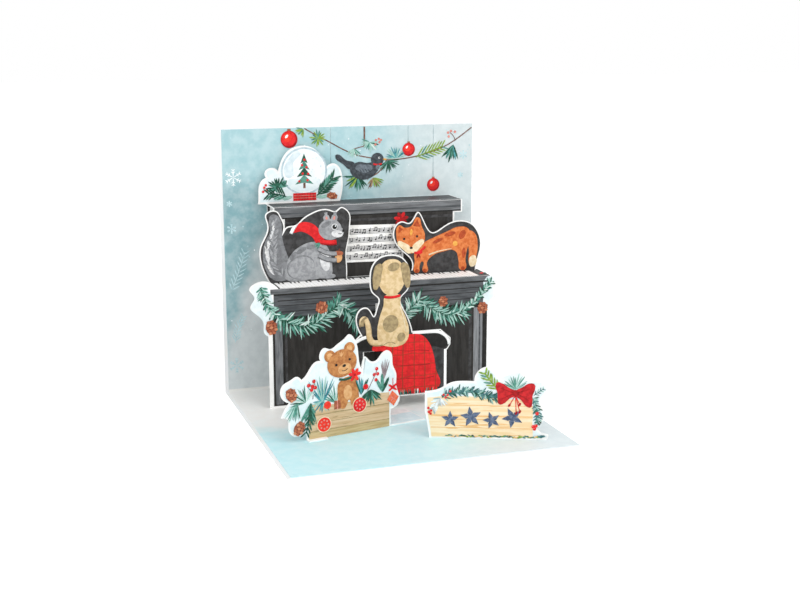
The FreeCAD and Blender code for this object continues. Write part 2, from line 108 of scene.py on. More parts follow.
def add_node(tree, kind, settings=None, inputs=None):
    """A node with its settings, and its inputs set or linked."""
    made = tree.nodes.new(kind)
    for key, value in (settings or {}).items():
        setattr(made, key, value)
    for key, value in (inputs or {}).items():
        if isinstance(value, bpy.types.NodeSocket):
            tree.links.new(value, made.inputs[key])
        else:
            made.inputs[key].default_value = value
    return made


def fresh_material(name):
    """An empty material, and its node tree."""
    material = bpy.data.materials.new(name)
    material.use_nodes = True
    material.node_tree.nodes.clear()
    return material, material.node_tree


def noise(tree, grain, stretch=(1.0, 1.0, 1.0), detail=3.0, shift=(0.0, 0.0, 0.0)):
    """Noise over the object, with patches of that many millimetres, shorter along a stretched axis."""
    place = add_node(tree, "ShaderNodeTexCoord").outputs["Object"]
    mapped = add_node(
        tree, "ShaderNodeMapping", inputs={"Vector": place, "Location": shift, "Scale": stretch}
    ).outputs[0]
    return add_node(
        tree, "ShaderNodeTexNoise",
        inputs={"Vector": mapped, "Scale": 1 / (grain * MM), "Detail": detail, "Roughness": 0.6},
    ).outputs["Fac"]


def spread(tree, value, low, high, bottom=0.0, top=1.0):
    """A value's range low to high, drawn out smoothly to bottom to top."""
    return add_node(
        tree, "ShaderNodeMapRange", {"interpolation_type": "SMOOTHSTEP"},
        {"Value": value, "From Min": low, "From Max": high, "To Min": bottom, "To Max": top},
    ).outputs[0]


def mix(tree, share, first, second):
    """Two colours mixed by a share."""
    return add_node(tree, "ShaderNodeMix", {"data_type": "RGBA"}, {0: share, 6: first, 7: second}).outputs[2]


def math_node(tree, operation, first, second):
    """One sum of two values."""
    return add_node(tree, "ShaderNodeMath", {"operation": operation}, {0: first, 1: second}).outputs[0]


def card_surface(tree, colour, rough, tooth_mm=0.35, tooth=0.06):
    """Coated card under the colour: a soft sheen and the fine tooth of its fibres."""
    bump = add_node(
        tree, "ShaderNodeBump",
        inputs={"Strength": tooth, "Distance": 0.05 * MM, "Height": noise(tree, tooth_mm, detail=1.0)},
    ).outputs[0]
    surface = add_node(
        tree, "ShaderNodeBsdfPrincipled",
        inputs={
            "Base Color": colour, "Roughness": rough, "IOR": 1.45, "Specular IOR Level": 0.3,
            "Normal": bump,
        },
    )
    add_node(tree, "ShaderNodeOutputMaterial", inputs={"Surface": surface.outputs[0]})


# Inks: name, lighter tone, darker tone, size of the brushed patches, and for some the stretch of
# the strokes. A stretch above 1 makes the patches shorter along that axis.
INKS = {
    "charcoal": ("#454546", "#2E2D2D", 3.0),
    "piano_black": ("#33312F", "#242220", 5.0, (2, 1, 0.4)),
    "panel_grey": ("#5A5D60", "#404346", 4.0, (0.3, 1, 2)),
    "slip_grey": ("#6A6D70", "#4A4C4E", 3.0, (0.25, 1, 2)),
    "cornice_grey": ("#787B7E", "#5E6062", 3.0, (0.25, 1, 2)),
    "roof_grey": ("#4B4C4E", "#343536", 2.2, (0.5, 1, 1)),
    "pilaster_grey": ("#7C7E81", "#5B5E60", 3.0, (3, 1, 0.3)),
    "pilaster_light": ("#8E9093", "#76787B", 3.0, (3, 1, 0.3)),
    "plate_white": ("#FFFFFF", "#F7F7F6", 7.0),
    "globe_rim": ("#C3D3DA", "#A6BDC7", 2.5),
    "flap_wash": ("#DDEEF2", "#CBE3E9", 4.0),
    # painted shade for the back of the crate's flap, under the stool
    "flap_painted_shade": ("#EDEEEE", "#DFE1E1", 4.0),
    "line_black": ("#232221", "#181716", 2.0),
    "worn_white": ("#E4E4E2", "#BFC0C0", 1.0),
    "key_white": ("#FFFFFF", "#F8F7F4", 4.0),
    "key_gap": ("#E2E1DE", "#D0CFCC", 2.0),
    "music_paper": ("#FBFBF9", "#EDECE8", 6.0),
    "music_ink": ("#4C4C4D", "#2F2F30", 1.5),
    "staff_grey": ("#85868A", "#6C6D70", 2.0),
    "pine_dark": ("#2C6450", "#174233", 1.6),
    "pine_mid": ("#5F9C8C", "#3F7A6A", 1.6),
    "pine_light": ("#ABCFC5", "#8DBBAE", 1.6),
    "pine_pale": ("#DDEBE6", "#C2DAD1", 1.6),
    "spruce_teal": ("#58A3A8", "#2F7480", 2.0),
    "moss": ("#94B24C", "#6C8F34", 2.0),
    "slate_green": ("#5B8C88", "#38656A", 2.0),
    "cone_brown": ("#B5694A", "#8E4A33", 1.2),
    "cone_dark": ("#7A3D2B", "#56281D", 1.0),
    "cone_light": ("#D08D68", "#BB7553", 1.0),
    "bow_red": ("#CE2429", "#A8161C", 2.0),
    "red": ("#E5282B", "#CB191E", 2.4),
    "red_dark": ("#B01519", "#8E1014", 2.0),
    "red_bright": ("#F0402C", "#E12C22", 2.0),
    "rose": ("#E29B90", "#CC7468", 1.2),
    "coral": ("#EE7A55", "#DE5F40", 1.5),
    "fur_grey": ("#A6A8AB", "#8C8E91", 1.8),
    "fur_patch": ("#85878A", "#707275", 1.5),
    "fur_light": ("#E4E5E6", "#C9CBCD", 1.5),
    "fox_orange": ("#E0854A", "#CB662F", 2.0),
    "fox_patch": ("#BC5229", "#9F3F1E", 1.5),
    "fox_yellow": ("#EDB65A", "#E09C3C", 1.5),
    "cream": ("#E6CDA2", "#D2B583", 2.2),
    "cream_patch": ("#B39F76", "#958260", 1.6),
    "cream_light": ("#F1E2C4", "#E4CFA6", 1.6),
    "bear_brown": ("#C68850", "#A9693A", 1.8),
    "bear_light": ("#E0AF7B", "#CF965F", 1.6),
    "crate_wood": ("#DABF9C", "#C5A77F", 5.0, (0.25, 0.25, 3)),
    "crate_shade": ("#CBB488", "#B59B6C", 4.0, (0.25, 0.25, 3)),
    "crate_line": ("#B09A6E", "#96815A", 2.0),
    "sign_wood": ("#F5E3C2", "#EED0A0", 5.0, (0.22, 0.22, 3)),
    "sign_streak": ("#EBC189", "#E2B172", 3.0, (0.25, 0.25, 3)),
    "slate": ("#6B7890", "#3F4E6A", 1.6),
    "pale_wash": ("#EAF3F5", "#DAE9EC", 6.0),
    "snow": ("#F8FBFB", "#E8F1F3", 3.0),
    "globe_glass": ("#E4EEF1", "#CADCE3", 5.0),
    "faint_snow": ("#C4DFE4", "#A9CBD1", 3.0),
    "bird_dark": ("#4A5157", "#32383D", 1.6),
    "bird_light": ("#77818A", "#5D666E", 1.6),
    "twig_brown": ("#8A6A5E", "#684B42", 1.5),
    "twig_mauve": ("#9B8C8F", "#7D6C70", 1.5),
    "thread": ("#A9BFC3", "#93ABB0", 2.0),
}
GREENS = ("pine_dark", "pine_mid", "pine_mid", "pine_light", "pine_light", "pine_pale")
DEEP_GREENS = ("pine_dark", "pine_dark", "pine_mid")
SLATE_GREENS = ("slate_green", "slate_green", "pine_dark", "pine_light")
TEALS = ("spruce_teal", "spruce_teal", "pine_light")
MOSSES = ("moss", "moss", "pine_mid")


def gouache(ink):
    """Gouache artwork printed on matt coated card.

    To the eye: two tones of one colour in brushed patches, dull, with a trace of sheen.
    """
    name = f"gouache_print_{ink}"
    if name in bpy.data.materials:
        return bpy.data.materials[name]
    light, dark, patch, *stretch = INKS[ink]
    material, tree = fresh_material(name)
    brushed = spread(tree, noise(tree, patch, *stretch), 0.36, 0.64)
    card_surface(tree, mix(tree, brushed, linear(light), linear(dark)), 0.5)
    return material


def tartan_print():
    """Red tartan cloth as printed artwork.

    To the eye: warm red gouache, with a brown and a fine dark red line each way, a little wavy.
    """
    material, tree = fresh_material("gouache_print_tartan")
    sett = bpy.context.scene.card_sizes.tartan_sett / MM
    place = add_node(tree, "ShaderNodeTexCoord").outputs["Object"]
    wave = add_node(tree, "ShaderNodeTexNoise", inputs={"Vector": place, "Scale": 90.0}).outputs["Fac"]
    sway = math_node(tree, "MULTIPLY", math_node(tree, "SUBTRACT", wave, 0.5), 2.2 * MM)
    axes = add_node(tree, "ShaderNodeSeparateXYZ", inputs={"Vector": place})
    brushed = spread(tree, noise(tree, 3.0), 0.36, 0.64)
    colour = mix(tree, brushed, linear("#EC272A"), linear("#D21E23"))
    for axis, start, strength in (("Z", 4.4, 0.5), ("X", 4.2, 0.8)):
        along = math_node(tree, "ADD", axes.outputs[axis], sway)
        for offset, wide, ink in ((0.0, 0.55, "#8C3B22"), (sett / 2, 0.22, "#B8261F")):
            shifted = math_node(tree, "ADD", along, (sett * 20 - start + offset) * MM)
            within = math_node(tree, "MODULO", shifted, sett * MM)
            line = math_node(tree, "LESS_THAN", within, wide * MM)
            colour = mix(tree, math_node(tree, "MULTIPLY", line, strength), colour, linear(ink))
    card_surface(tree, colour, 0.5)
    return material


def white_card(name, tone):
    """Unprinted solid white card, cut with a steel rule.

    To the eye: clean white, dull, with very faint cloudiness in the fibres.
    """
    material, tree = fresh_material(name)
    cloudy = spread(tree, noise(tree, 7.0), 0.3, 0.7)
    card_surface(tree, mix(tree, cloudy, tone, linear("#ECECEA")), 0.6)
    return material


def winter_liner(colours):
    """Watercolour sky and snow printed on the liner's coated paper.

    To the eye: broad soft watercolour, blue at the outer left; a deep teal at the middle left and a grey
    low beside the piano, both partly painted shade of the piano; painted shade greying the base towards
    the fold; paler to the right and blue again at the front, with cloudy edges between them.
    """
    material, tree = fresh_material("watercolour_print_and_painted_shade_liner")
    place = add_node(tree, "ShaderNodeTexCoord").outputs["Object"]
    clouds = math_node(tree, "MULTIPLY", math_node(tree, "SUBTRACT", noise(tree, 22.0), 0.5), 0.035)
    axes = add_node(tree, "ShaderNodeSeparateXYZ", inputs={"Vector": place})
    across = math_node(tree, "ADD", axes.outputs["X"], clouds)
    back = math_node(tree, "ADD", axes.outputs["Y"], clouds)
    up = math_node(tree, "ADD", axes.outputs["Z"], clouds)
    # Partly print and partly painted shade: the deep teal at the middle left, beside and behind the left of
    # the piano, darkens the wash where the piano's shade falls.
    deep = math_node(
        tree, "MULTIPLY", spread(tree, across, -0.073, -0.066), spread(tree, across, -0.030, -0.005, 1.0, 0.0)
    )
    deep = math_node(tree, "MULTIPLY", deep, spread(tree, up, 0.094, 0.116, 1.0, 0.0))
    panel = mix(tree, deep, colours["sky"], colours["teal_wash_and_piano_shade"])
    # Paler towards the right of the back panel.
    panel = mix(tree, spread(tree, across, 0.000, 0.050), panel, colours["paler_right_colour"])
    # Partly print and partly painted shade: the grey low beside the piano stands for the piano's shade on the
    # back panel as well as the wash.
    towards_piano = math_node(tree, "SUBTRACT", across, math_node(tree, "MULTIPLY", up, 0.35))
    low = math_node(
        tree, "MULTIPLY", spread(tree, towards_piano, -0.0785, -0.069), spread(
            tree, up, 0.070, 0.095, 1.0, 0.0,
        )
    )
    panel = mix(tree, low, panel, colours["grey_wash_and_piano_shade"])
    # Painted shade: the base turns greyer towards the fold at its back, where shade falls.
    floor = mix(tree, spread(tree, back, -0.012, 0.012), colours["ice"], colours["fold_painted_shade"])
    near_right = math_node(tree, "SUBTRACT", across, math_node(tree, "MULTIPLY", back, 0.9))
    floor = mix(tree, spread(tree, near_right, 0.035, 0.095), floor, colours["ice_pale"])
    upright_face = spread(tree, axes.outputs["Z"], 0.0012, 0.0020)
    both = mix(tree, upright_face, floor, panel)
    mottled = spread(tree, noise(tree, 5.0), 0.3, 0.7, 0.0, 0.22)
    card_surface(tree, mix(tree, mottled, both, linear("#F2F8F8")), 0.45)
    return material


class Print:
    """The print on one face: thin closed layers of ink, in the face's own millimetres."""

    def __init__(self, name, face, seed=1):
        self.name = name
        self.face = face
        self.bm = bmesh.new()
        self.materials = []
        self.touches = 0
        self.rng = random.Random(seed)

    def index(self, ink):
        """The material slot of an ink, or of a ready material."""
        material = gouache(ink) if isinstance(ink, str) else ink
        if material not in self.materials:
            self.materials.append(material)
        return self.materials.index(material)

    def paint(self, made, ink):
        """Give what an operator made one ink."""
        index = self.index(ink)
        for face in {f for v in made["verts"] for f in v.link_faces}:
            face.material_index = index

    def lift(self, layer):
        """Height of the next touch's middle above the card."""
        self.touches += 1
        return (layer + 0.5) * INK + (self.touches % TURNS) * STEP

    def dab(self, ink, layer, x, y, long, wide, turn=0.0, corners=6):
        """One touch of the brush about a point: pointed with 4 or 6 corners, round with more."""
        place = (
            Matrix.Translation((x, y, self.lift(layer)))
            @ Matrix.Rotation(math.radians(turn - 90), 4, "Z")
            @ Matrix.Diagonal((wide, long, THICK, 1.0))
        )
        made = bmesh.ops.create_cone(
            self.bm, cap_ends=True, segments=corners, radius1=0.5, radius2=0.5, depth=1.0,
            matrix=place,
        )
        self.paint(made, ink)

    def disc(self, ink, layer, x, y, radius):
        """A round spot."""
        self.dab(ink, layer, x, y, 2 * radius, 2 * radius, corners=12 if radius < 1 else 32)

    def needle(self, ink, layer, x, y, long, wide, turn):
        """A needle from its root."""
        half = math.radians(turn)
        x += math.cos(half) * long / 2
        y += math.sin(half) * long / 2
        self.dab(ink, layer, x, y, long, wide, turn)

    def block(self, ink, layer, left, bottom, right, top):
        """A straight-sided field."""
        place = Matrix.Translation(((left + right) / 2, (bottom + top) / 2, self.lift(layer)))
        size = Matrix.Diagonal((right - left, top - bottom, THICK, 1.0))
        made = bmesh.ops.create_cube(self.bm, size=1.0, matrix=place @ size)
        self.paint(made, ink)

    def add_mesh(self, mesh, ink, placed):
        """Take in a mesh, all of it in one ink."""
        mesh.transform(placed)
        mesh.polygons.foreach_set("material_index", [self.index(ink)] * len(mesh.polygons))
        self.bm.from_mesh(mesh)
        bpy.data.meshes.remove(mesh)

    def shape(self, ink, layer, points, smooth=True):
        """A field inside a closed outline, smooth through its points or straight between them."""
        curve = bpy.data.curves.new("outline", "CURVE")
        curve.dimensions = "2D"
        curve.fill_mode = "BOTH"
        curve.extrude = THICK / 2
        curve.resolution_u = 5 if smooth else 1
        line = curve.splines.new("BEZIER")
        line.bezier_points.add(len(points) - 1)
        line.use_cyclic_u = True
        for point, (x, y) in zip(line.bezier_points, points):
            point.co = (x, y, 0.0)
        for point in line.bezier_points:
            point.handle_left_type = "AUTO" if smooth else "VECTOR"
            point.handle_right_type = "AUTO" if smooth else "VECTOR"
        self.add_curve(curve, ink, Matrix.Translation((0.0, 0.0, self.lift(layer))))

    def stroke(self, ink, layer, points, wide, taper=(1.0, 1.0)):
        """A brush line along points, its width running from the first share to the second."""
        curve = bpy.data.curves.new("stroke", "CURVE")
        curve.dimensions = "3D"
        curve.bevel_depth = wide / 2
        curve.bevel_resolution = 1
        curve.resolution_u = 4
        curve.use_fill_caps = True
        line = curve.splines.new("NURBS")
        line.points.add(len(points) - 1)
        for k, (x, y) in enumerate(points):
            line.points[k].co = (x, y, 0.0, 1.0)
            line.points[k].radius = taper[0] + (taper[1] - taper[0]) * k / (len(points) - 1)
        line.order_u = min(3, len(points))
        line.use_endpoint_u = True
        pressed = Matrix.Scale(THICK / wide, 4, (0.0, 0.0, 1.0))
        self.add_curve(curve, ink, Matrix.Translation((0.0, 0.0, self.lift(layer))) @ pressed)

    def add_curve(self, curve, ink, placed):
        """Take in a curve as closed mesh."""
        holder = bpy.data.objects.new("outline", curve)
        mesh = bpy.data.meshes.new_from_object(holder)
        bpy.data.objects.remove(holder)
        bpy.data.curves.remove(curve)
        self.add_mesh(mesh, ink, placed)

    def inner_field(self, ink, layer, node, margin, above=None):
        """The printed area of a die-cut plate: its front face less the white edge at the cut.

        Where above is given, what stands lower on the face is left out.
        """
        plate = bmesh.new()
        plate.from_mesh(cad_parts[node].data)
        bmesh.ops.remove_doubles(plate, verts=plate.verts[:], dist=1e-6)
        bmesh.ops.transform(plate, matrix=self.face.inverted(), verts=plate.verts[:])
        plate.normal_update()
        other = [
            f for f in plate.faces
            if f.normal.z < 0.99 or abs(f.calc_center_median().z) > 0.05
        ]
        bmesh.ops.delete(plate, geom=other, context="FACES")
        if above is not None:
            bmesh.ops.bisect_plane(
                plate, geom=plate.verts[:] + plate.edges[:] + plate.faces[:],
                plane_co=(0.0, above, 0.0), plane_no=(0.0, 1.0, 0.0), clear_inner=True,
            )
        bmesh.ops.dissolve_faces(plate, faces=plate.faces[:], use_verts=False)
        ring = bmesh.ops.inset_region(
            plate, faces=plate.faces[:], thickness=margin, depth=0.0,
            use_boundary=True, use_even_offset=True,
        )
        bmesh.ops.delete(plate, geom=ring["faces"], context="FACES")
        bmesh.ops.solidify(plate, geom=plate.faces[:], thickness=THICK)
        heights = [v.co.z for v in plate.verts]
        middle = (min(heights) + max(heights)) / 2
        mesh = bpy.data.meshes.new("field")
        plate.to_mesh(mesh)
        plate.free()
        self.add_mesh(mesh, ink, Matrix.Translation((0.0, 0.0, self.lift(layer) - middle)))

    def tuft(self, inks, layer, x, y, aim, fan, long, count, wide=0.6):
        """A fan of needles from one root."""
        for k in range(count):
            turn = aim + fan * (k / max(count - 1, 1) - 0.5) + self.rng.uniform(-5, 5)
            reach = long * self.rng.uniform(0.72, 1.0)
            self.needle(self.rng.choice(inks), layer, x, y, reach, wide, turn)

    def sprig(self, inks, layer, path, long, lean, pairs, wide=0.55, stem="twig_brown"):
        """A stem with needles in pairs that lean towards its tip."""
        self.stroke(stem, layer, path, wide * 0.8)
        for k in range(pairs):
            x, y, turn = along_path(path, (k + 0.5) / pairs)
            for side in (-1, 1):
                reach = long * self.rng.uniform(0.8, 1.0) * (1.0 - 0.25 * k / pairs)
                self.needle(self.rng.choice(inks), layer, x, y, reach, wide, turn + side * lean)

    def garland(self, inks, layer, path, above, below, count, wide=0.75):
        """Fir along a line, thick with needles of several greens, longer on the under side."""
        for k in range(count):
            x, y, turn = along_path(path, (k + 0.5) / count)
            x += self.rng.uniform(-0.5, 0.5)
            y += self.rng.uniform(-0.5, 0.5)
            for side, reach in ((1, above), (-1, below)):
                lean = self.rng.uniform(22, 75)
                far = reach * self.rng.uniform(0.65, 1.0)
                self.needle(self.rng.choice(inks), layer, x, y, far, wide, turn + side * lean)

    def cone(self, layer, x, y, wide, tall, turn=0.0):
        """A pine cone: rows of scales, dark between and light on their tips."""
        spin = Matrix.Rotation(math.radians(turn), 2)
        self.dab("cone_dark", layer, x, y, tall, wide, turn + 90, corners=12)
        rows = 5
        for row in range(rows):
            up = (row + 0.5) / rows - 0.5
            half = math.sqrt(max(0.0, 0.25 - up * up)) * wide
            number = 3 if abs(up) < 0.3 else 2
            for k in range(number):
                side = (k - (number - 1) / 2) * half * 2 / number + (0.25 if row % 2 else -0.1)
                dx, dy = spin @ Vector((side, up * tall))
                ink = "cone_light" if (row + k) % 3 == 0 else "cone_brown"
                self.dab(ink, layer + 1, x + dx, y + dy, wide * 0.34, tall * 0.21, turn, corners=8)

    def berries(self, layer, places, radius, ink="red"):
        """Round berries with a small light on each."""
        for x, y in places:
            self.disc(ink, layer, x, y, radius)
            self.disc("rose", layer + 1, x - radius * 0.3, y + radius * 0.35, radius * 0.25)

    def bauble(self, layer, x, y, radius):
        """A red ball: dark rim, bright body, two lights and its cap."""
        self.block(
            "cone_brown", layer, x - radius * 0.2, y + radius * 0.85, x + radius * 0.2,
            y + radius * 1.2,
        )
        self.disc("red_dark", layer, x, y, radius)
        self.disc("red", layer + 1, x - radius * 0.08, y + radius * 0.08, radius * 0.87)
        self.disc("red_bright", layer + 2, x - radius * 0.2, y + radius * 0.2, radius * 0.5)
        self.dab("snow", layer + 3, x - radius * 0.3, y + radius * 0.35, radius * 0.5, radius * 0.28, 50, 10)

    def flake(self, ink, layer, x, y, radius, wide):
        """A six-armed snowflake with two barbs on each side of an arm."""
        for arm in range(6):
            turn = arm * 60 + 90
            self.needle(ink, layer, x, y, radius, wide, turn)
            for share in (0.45, 0.72):
                dx = math.cos(math.radians(turn)) * radius * share
                dy = math.sin(math.radians(turn)) * radius * share
                for side in (-50, 50):
                    self.needle(ink, layer, x + dx, y + dy, radius * 0.28, wide * 0.8, turn + side)

    def poinsettia(self, layer, x, y, radius):
        """A red flower of pointed petals."""
        for k in range(7):
            self.needle("red" if k % 2 else "red_dark", layer, x, y, radius, radius * 0.5, k * 360 / 7 + 14)
        self.disc("red_dark", layer + 1, x, y, radius * 0.2)

    def trim(self, node):
        """Draw ink that stands past the cut edge of its plate back to that edge."""
        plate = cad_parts[node].data
        corners = [v.co for v in plate.vertices]
        tree = BVHTree.FromPolygons(corners, [tuple(f.vertices) for f in plate.polygons])
        to_face = self.face.inverted()
        for vertex in self.bm.verts:
            found = tree.find_nearest(self.face @ vertex.co)[0]
            edge = to_face @ found
            if math.dist(edge.xy, vertex.co.xy) > OVERHANG:
                vertex.co.xy = edge.xy
        bmesh.ops.dissolve_degenerate(self.bm, dist=WELD, edges=self.bm.edges[:])

    def finish(self):
        """Make the object, put it on its face and let it ride on the card."""
        bmesh.ops.remove_doubles(self.bm, verts=self.bm.verts[:], dist=WELD)
        bmesh.ops.recalc_face_normals(self.bm, faces=self.bm.faces[:])
        bmesh.ops.transform(self.bm, matrix=self.face, verts=self.bm.verts[:])
        mesh = bpy.data.meshes.new(self.name)
        self.bm.to_mesh(mesh)
        self.bm.free()
        for material in self.materials:
            mesh.materials.append(material)
        piece = bpy.data.objects.new(self.name, mesh)
        bpy.context.scene.collection.objects.link(piece)
        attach(piece, "root")
        return piece


def along_path(path, share):
    """The point at a share of a path's length, and the path's direction there in degrees."""
    legs = [math.dist(path[k], path[k + 1]) for k in range(len(path) - 1)]
    left = share * sum(legs)
    for k, leg in enumerate(legs):
        if left <= leg or k == len(legs) - 1:
            (x0, y0), (x1, y1) = path[k], path[k + 1]
            part = left / leg
            turn = math.degrees(math.atan2(y1 - y0, x1 - x0))
            return x0 + (x1 - x0) * part, y0 + (y1 - y0) * part, turn
        left -= leg
    raise RuntimeError("a path needs two points")


def on_plate(node, points):
    """Shares of a plate's width and height as millimetres of its face."""
    low = lowest(node)
    size = highest(node) - low
    return [(low.x + across * size.x, low.z + up * size.z) for across, up in points]


def spot(node, across, up):
    """One such place."""
    return on_plate(node, [(across, up)])[0]


def length(name, description, default, low, high):
    """A length, in metres, that the panel shows."""
    return bpy.props.FloatProperty(
        name=name, description=description, default=default, min=low, max=high,
        subtype="DISTANCE", unit="LENGTH",
    )


def wash(name, description, tone):
    """A colour that the panel shows."""
    return bpy.props.FloatVectorProperty(
        name=name, description=description, size=4, min=0.0, max=1.0, subtype="COLOR",
        default=linear(tone),
    )


class CardSizes(bpy.types.PropertyGroup):
    """Sizes of the printed details."""

    figure_edge: length(
        "White edge of a figure", "Unprinted edge left round a die-cut figure", 0.00055, 0.0,
        0.003,
    )
    leaf_edge: length(
        "White edge of leaves", "Unprinted edge left round globe, crate and sign", 0.0009, 0.0,
        0.003,
    )
    key_pitch: length("Key pitch", "Width of one white key", 0.00198, 0.001, 0.004)
    needle: length("Fir needle", "Length of the garland's needles", 0.0068, 0.002, 0.01)
    tartan_sett: length("Tartan sett", "Distance between two dark lines of the tartan", 0.0056, 0.002, 0.02)


class CardColours(bpy.types.PropertyGroup):
    """Colours of the card and its washes."""

    cover: wash("Cover", "Cover card", "#E9EBED")
    sky: wash("Sky", "Wash at the left and top of the back panel", "#A0C6CC")
    # Partly painted shade: this teal also darkens the back panel where the piano's shade falls.
    teal_wash_and_piano_shade: wash("Deep teal and piano shade", "Teal wash at the middle left of the back panel, darkened as painted shade of the piano", "#80A8AF")
    # Paler colour towards the right of the back panel.
    paler_right_colour: wash("Paler right", "Paler colour over the right of the back panel", "#C6D2D4")
    # Partly painted shade: this grey also stands for the piano's shade low on the back panel.
    grey_wash_and_piano_shade: wash("Low grey and piano shade", "Grey wash low beside the piano, partly painted shade of the piano", "#C6CED0")
    ice: wash("Ice", "Wash at the front of the base", "#C0E8EE")
    ice_pale: wash("Pale ice", "Wash at the front right of the base", "#D8E3E6")
    # Painted shade: the grey at the back of the base, by the fold.
    fold_painted_shade: wash("Fold shade", "Painted shade at the back of the base, by the fold", "#EAE9E6")


class CARD_OT_finish_card(bpy.types.Operator):
    """Give the cover, the liner, the plates and the straps their paper"""

    bl_idname = "card.finish_card"
    bl_label = "Finish the card"

    def execute(self, context):
        colours = context.scene.card_colours
        # Colours of the liner: its washes, and the painted shade beside the piano and at the fold.
        washes = {
            key: tuple(getattr(colours, key))
            for key in ("sky", "teal_wash_and_piano_shade", "paler_right_colour", "grey_wash_and_piano_shade", "ice", "ice_pale", "fold_painted_shade")
        }
        cover = white_card("solid_white_cover_card", tuple(colours.cover))
        plate = white_card("solid_white_plate_card", linear("#F8F8F6"))
        strap = white_card("solid_white_strap_card", linear("#F2F2F0"))
        liner = winter_liner(washes)
        for name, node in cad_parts.items():
            material = plate
            if name == "card_cover":
                material = cover
            elif name == "inner_liner":
                material = liner
            elif name.endswith("_strap"):
                material = strap
            node.data.materials.clear()
            node.data.materials.append(material)
        return {"FINISHED"}


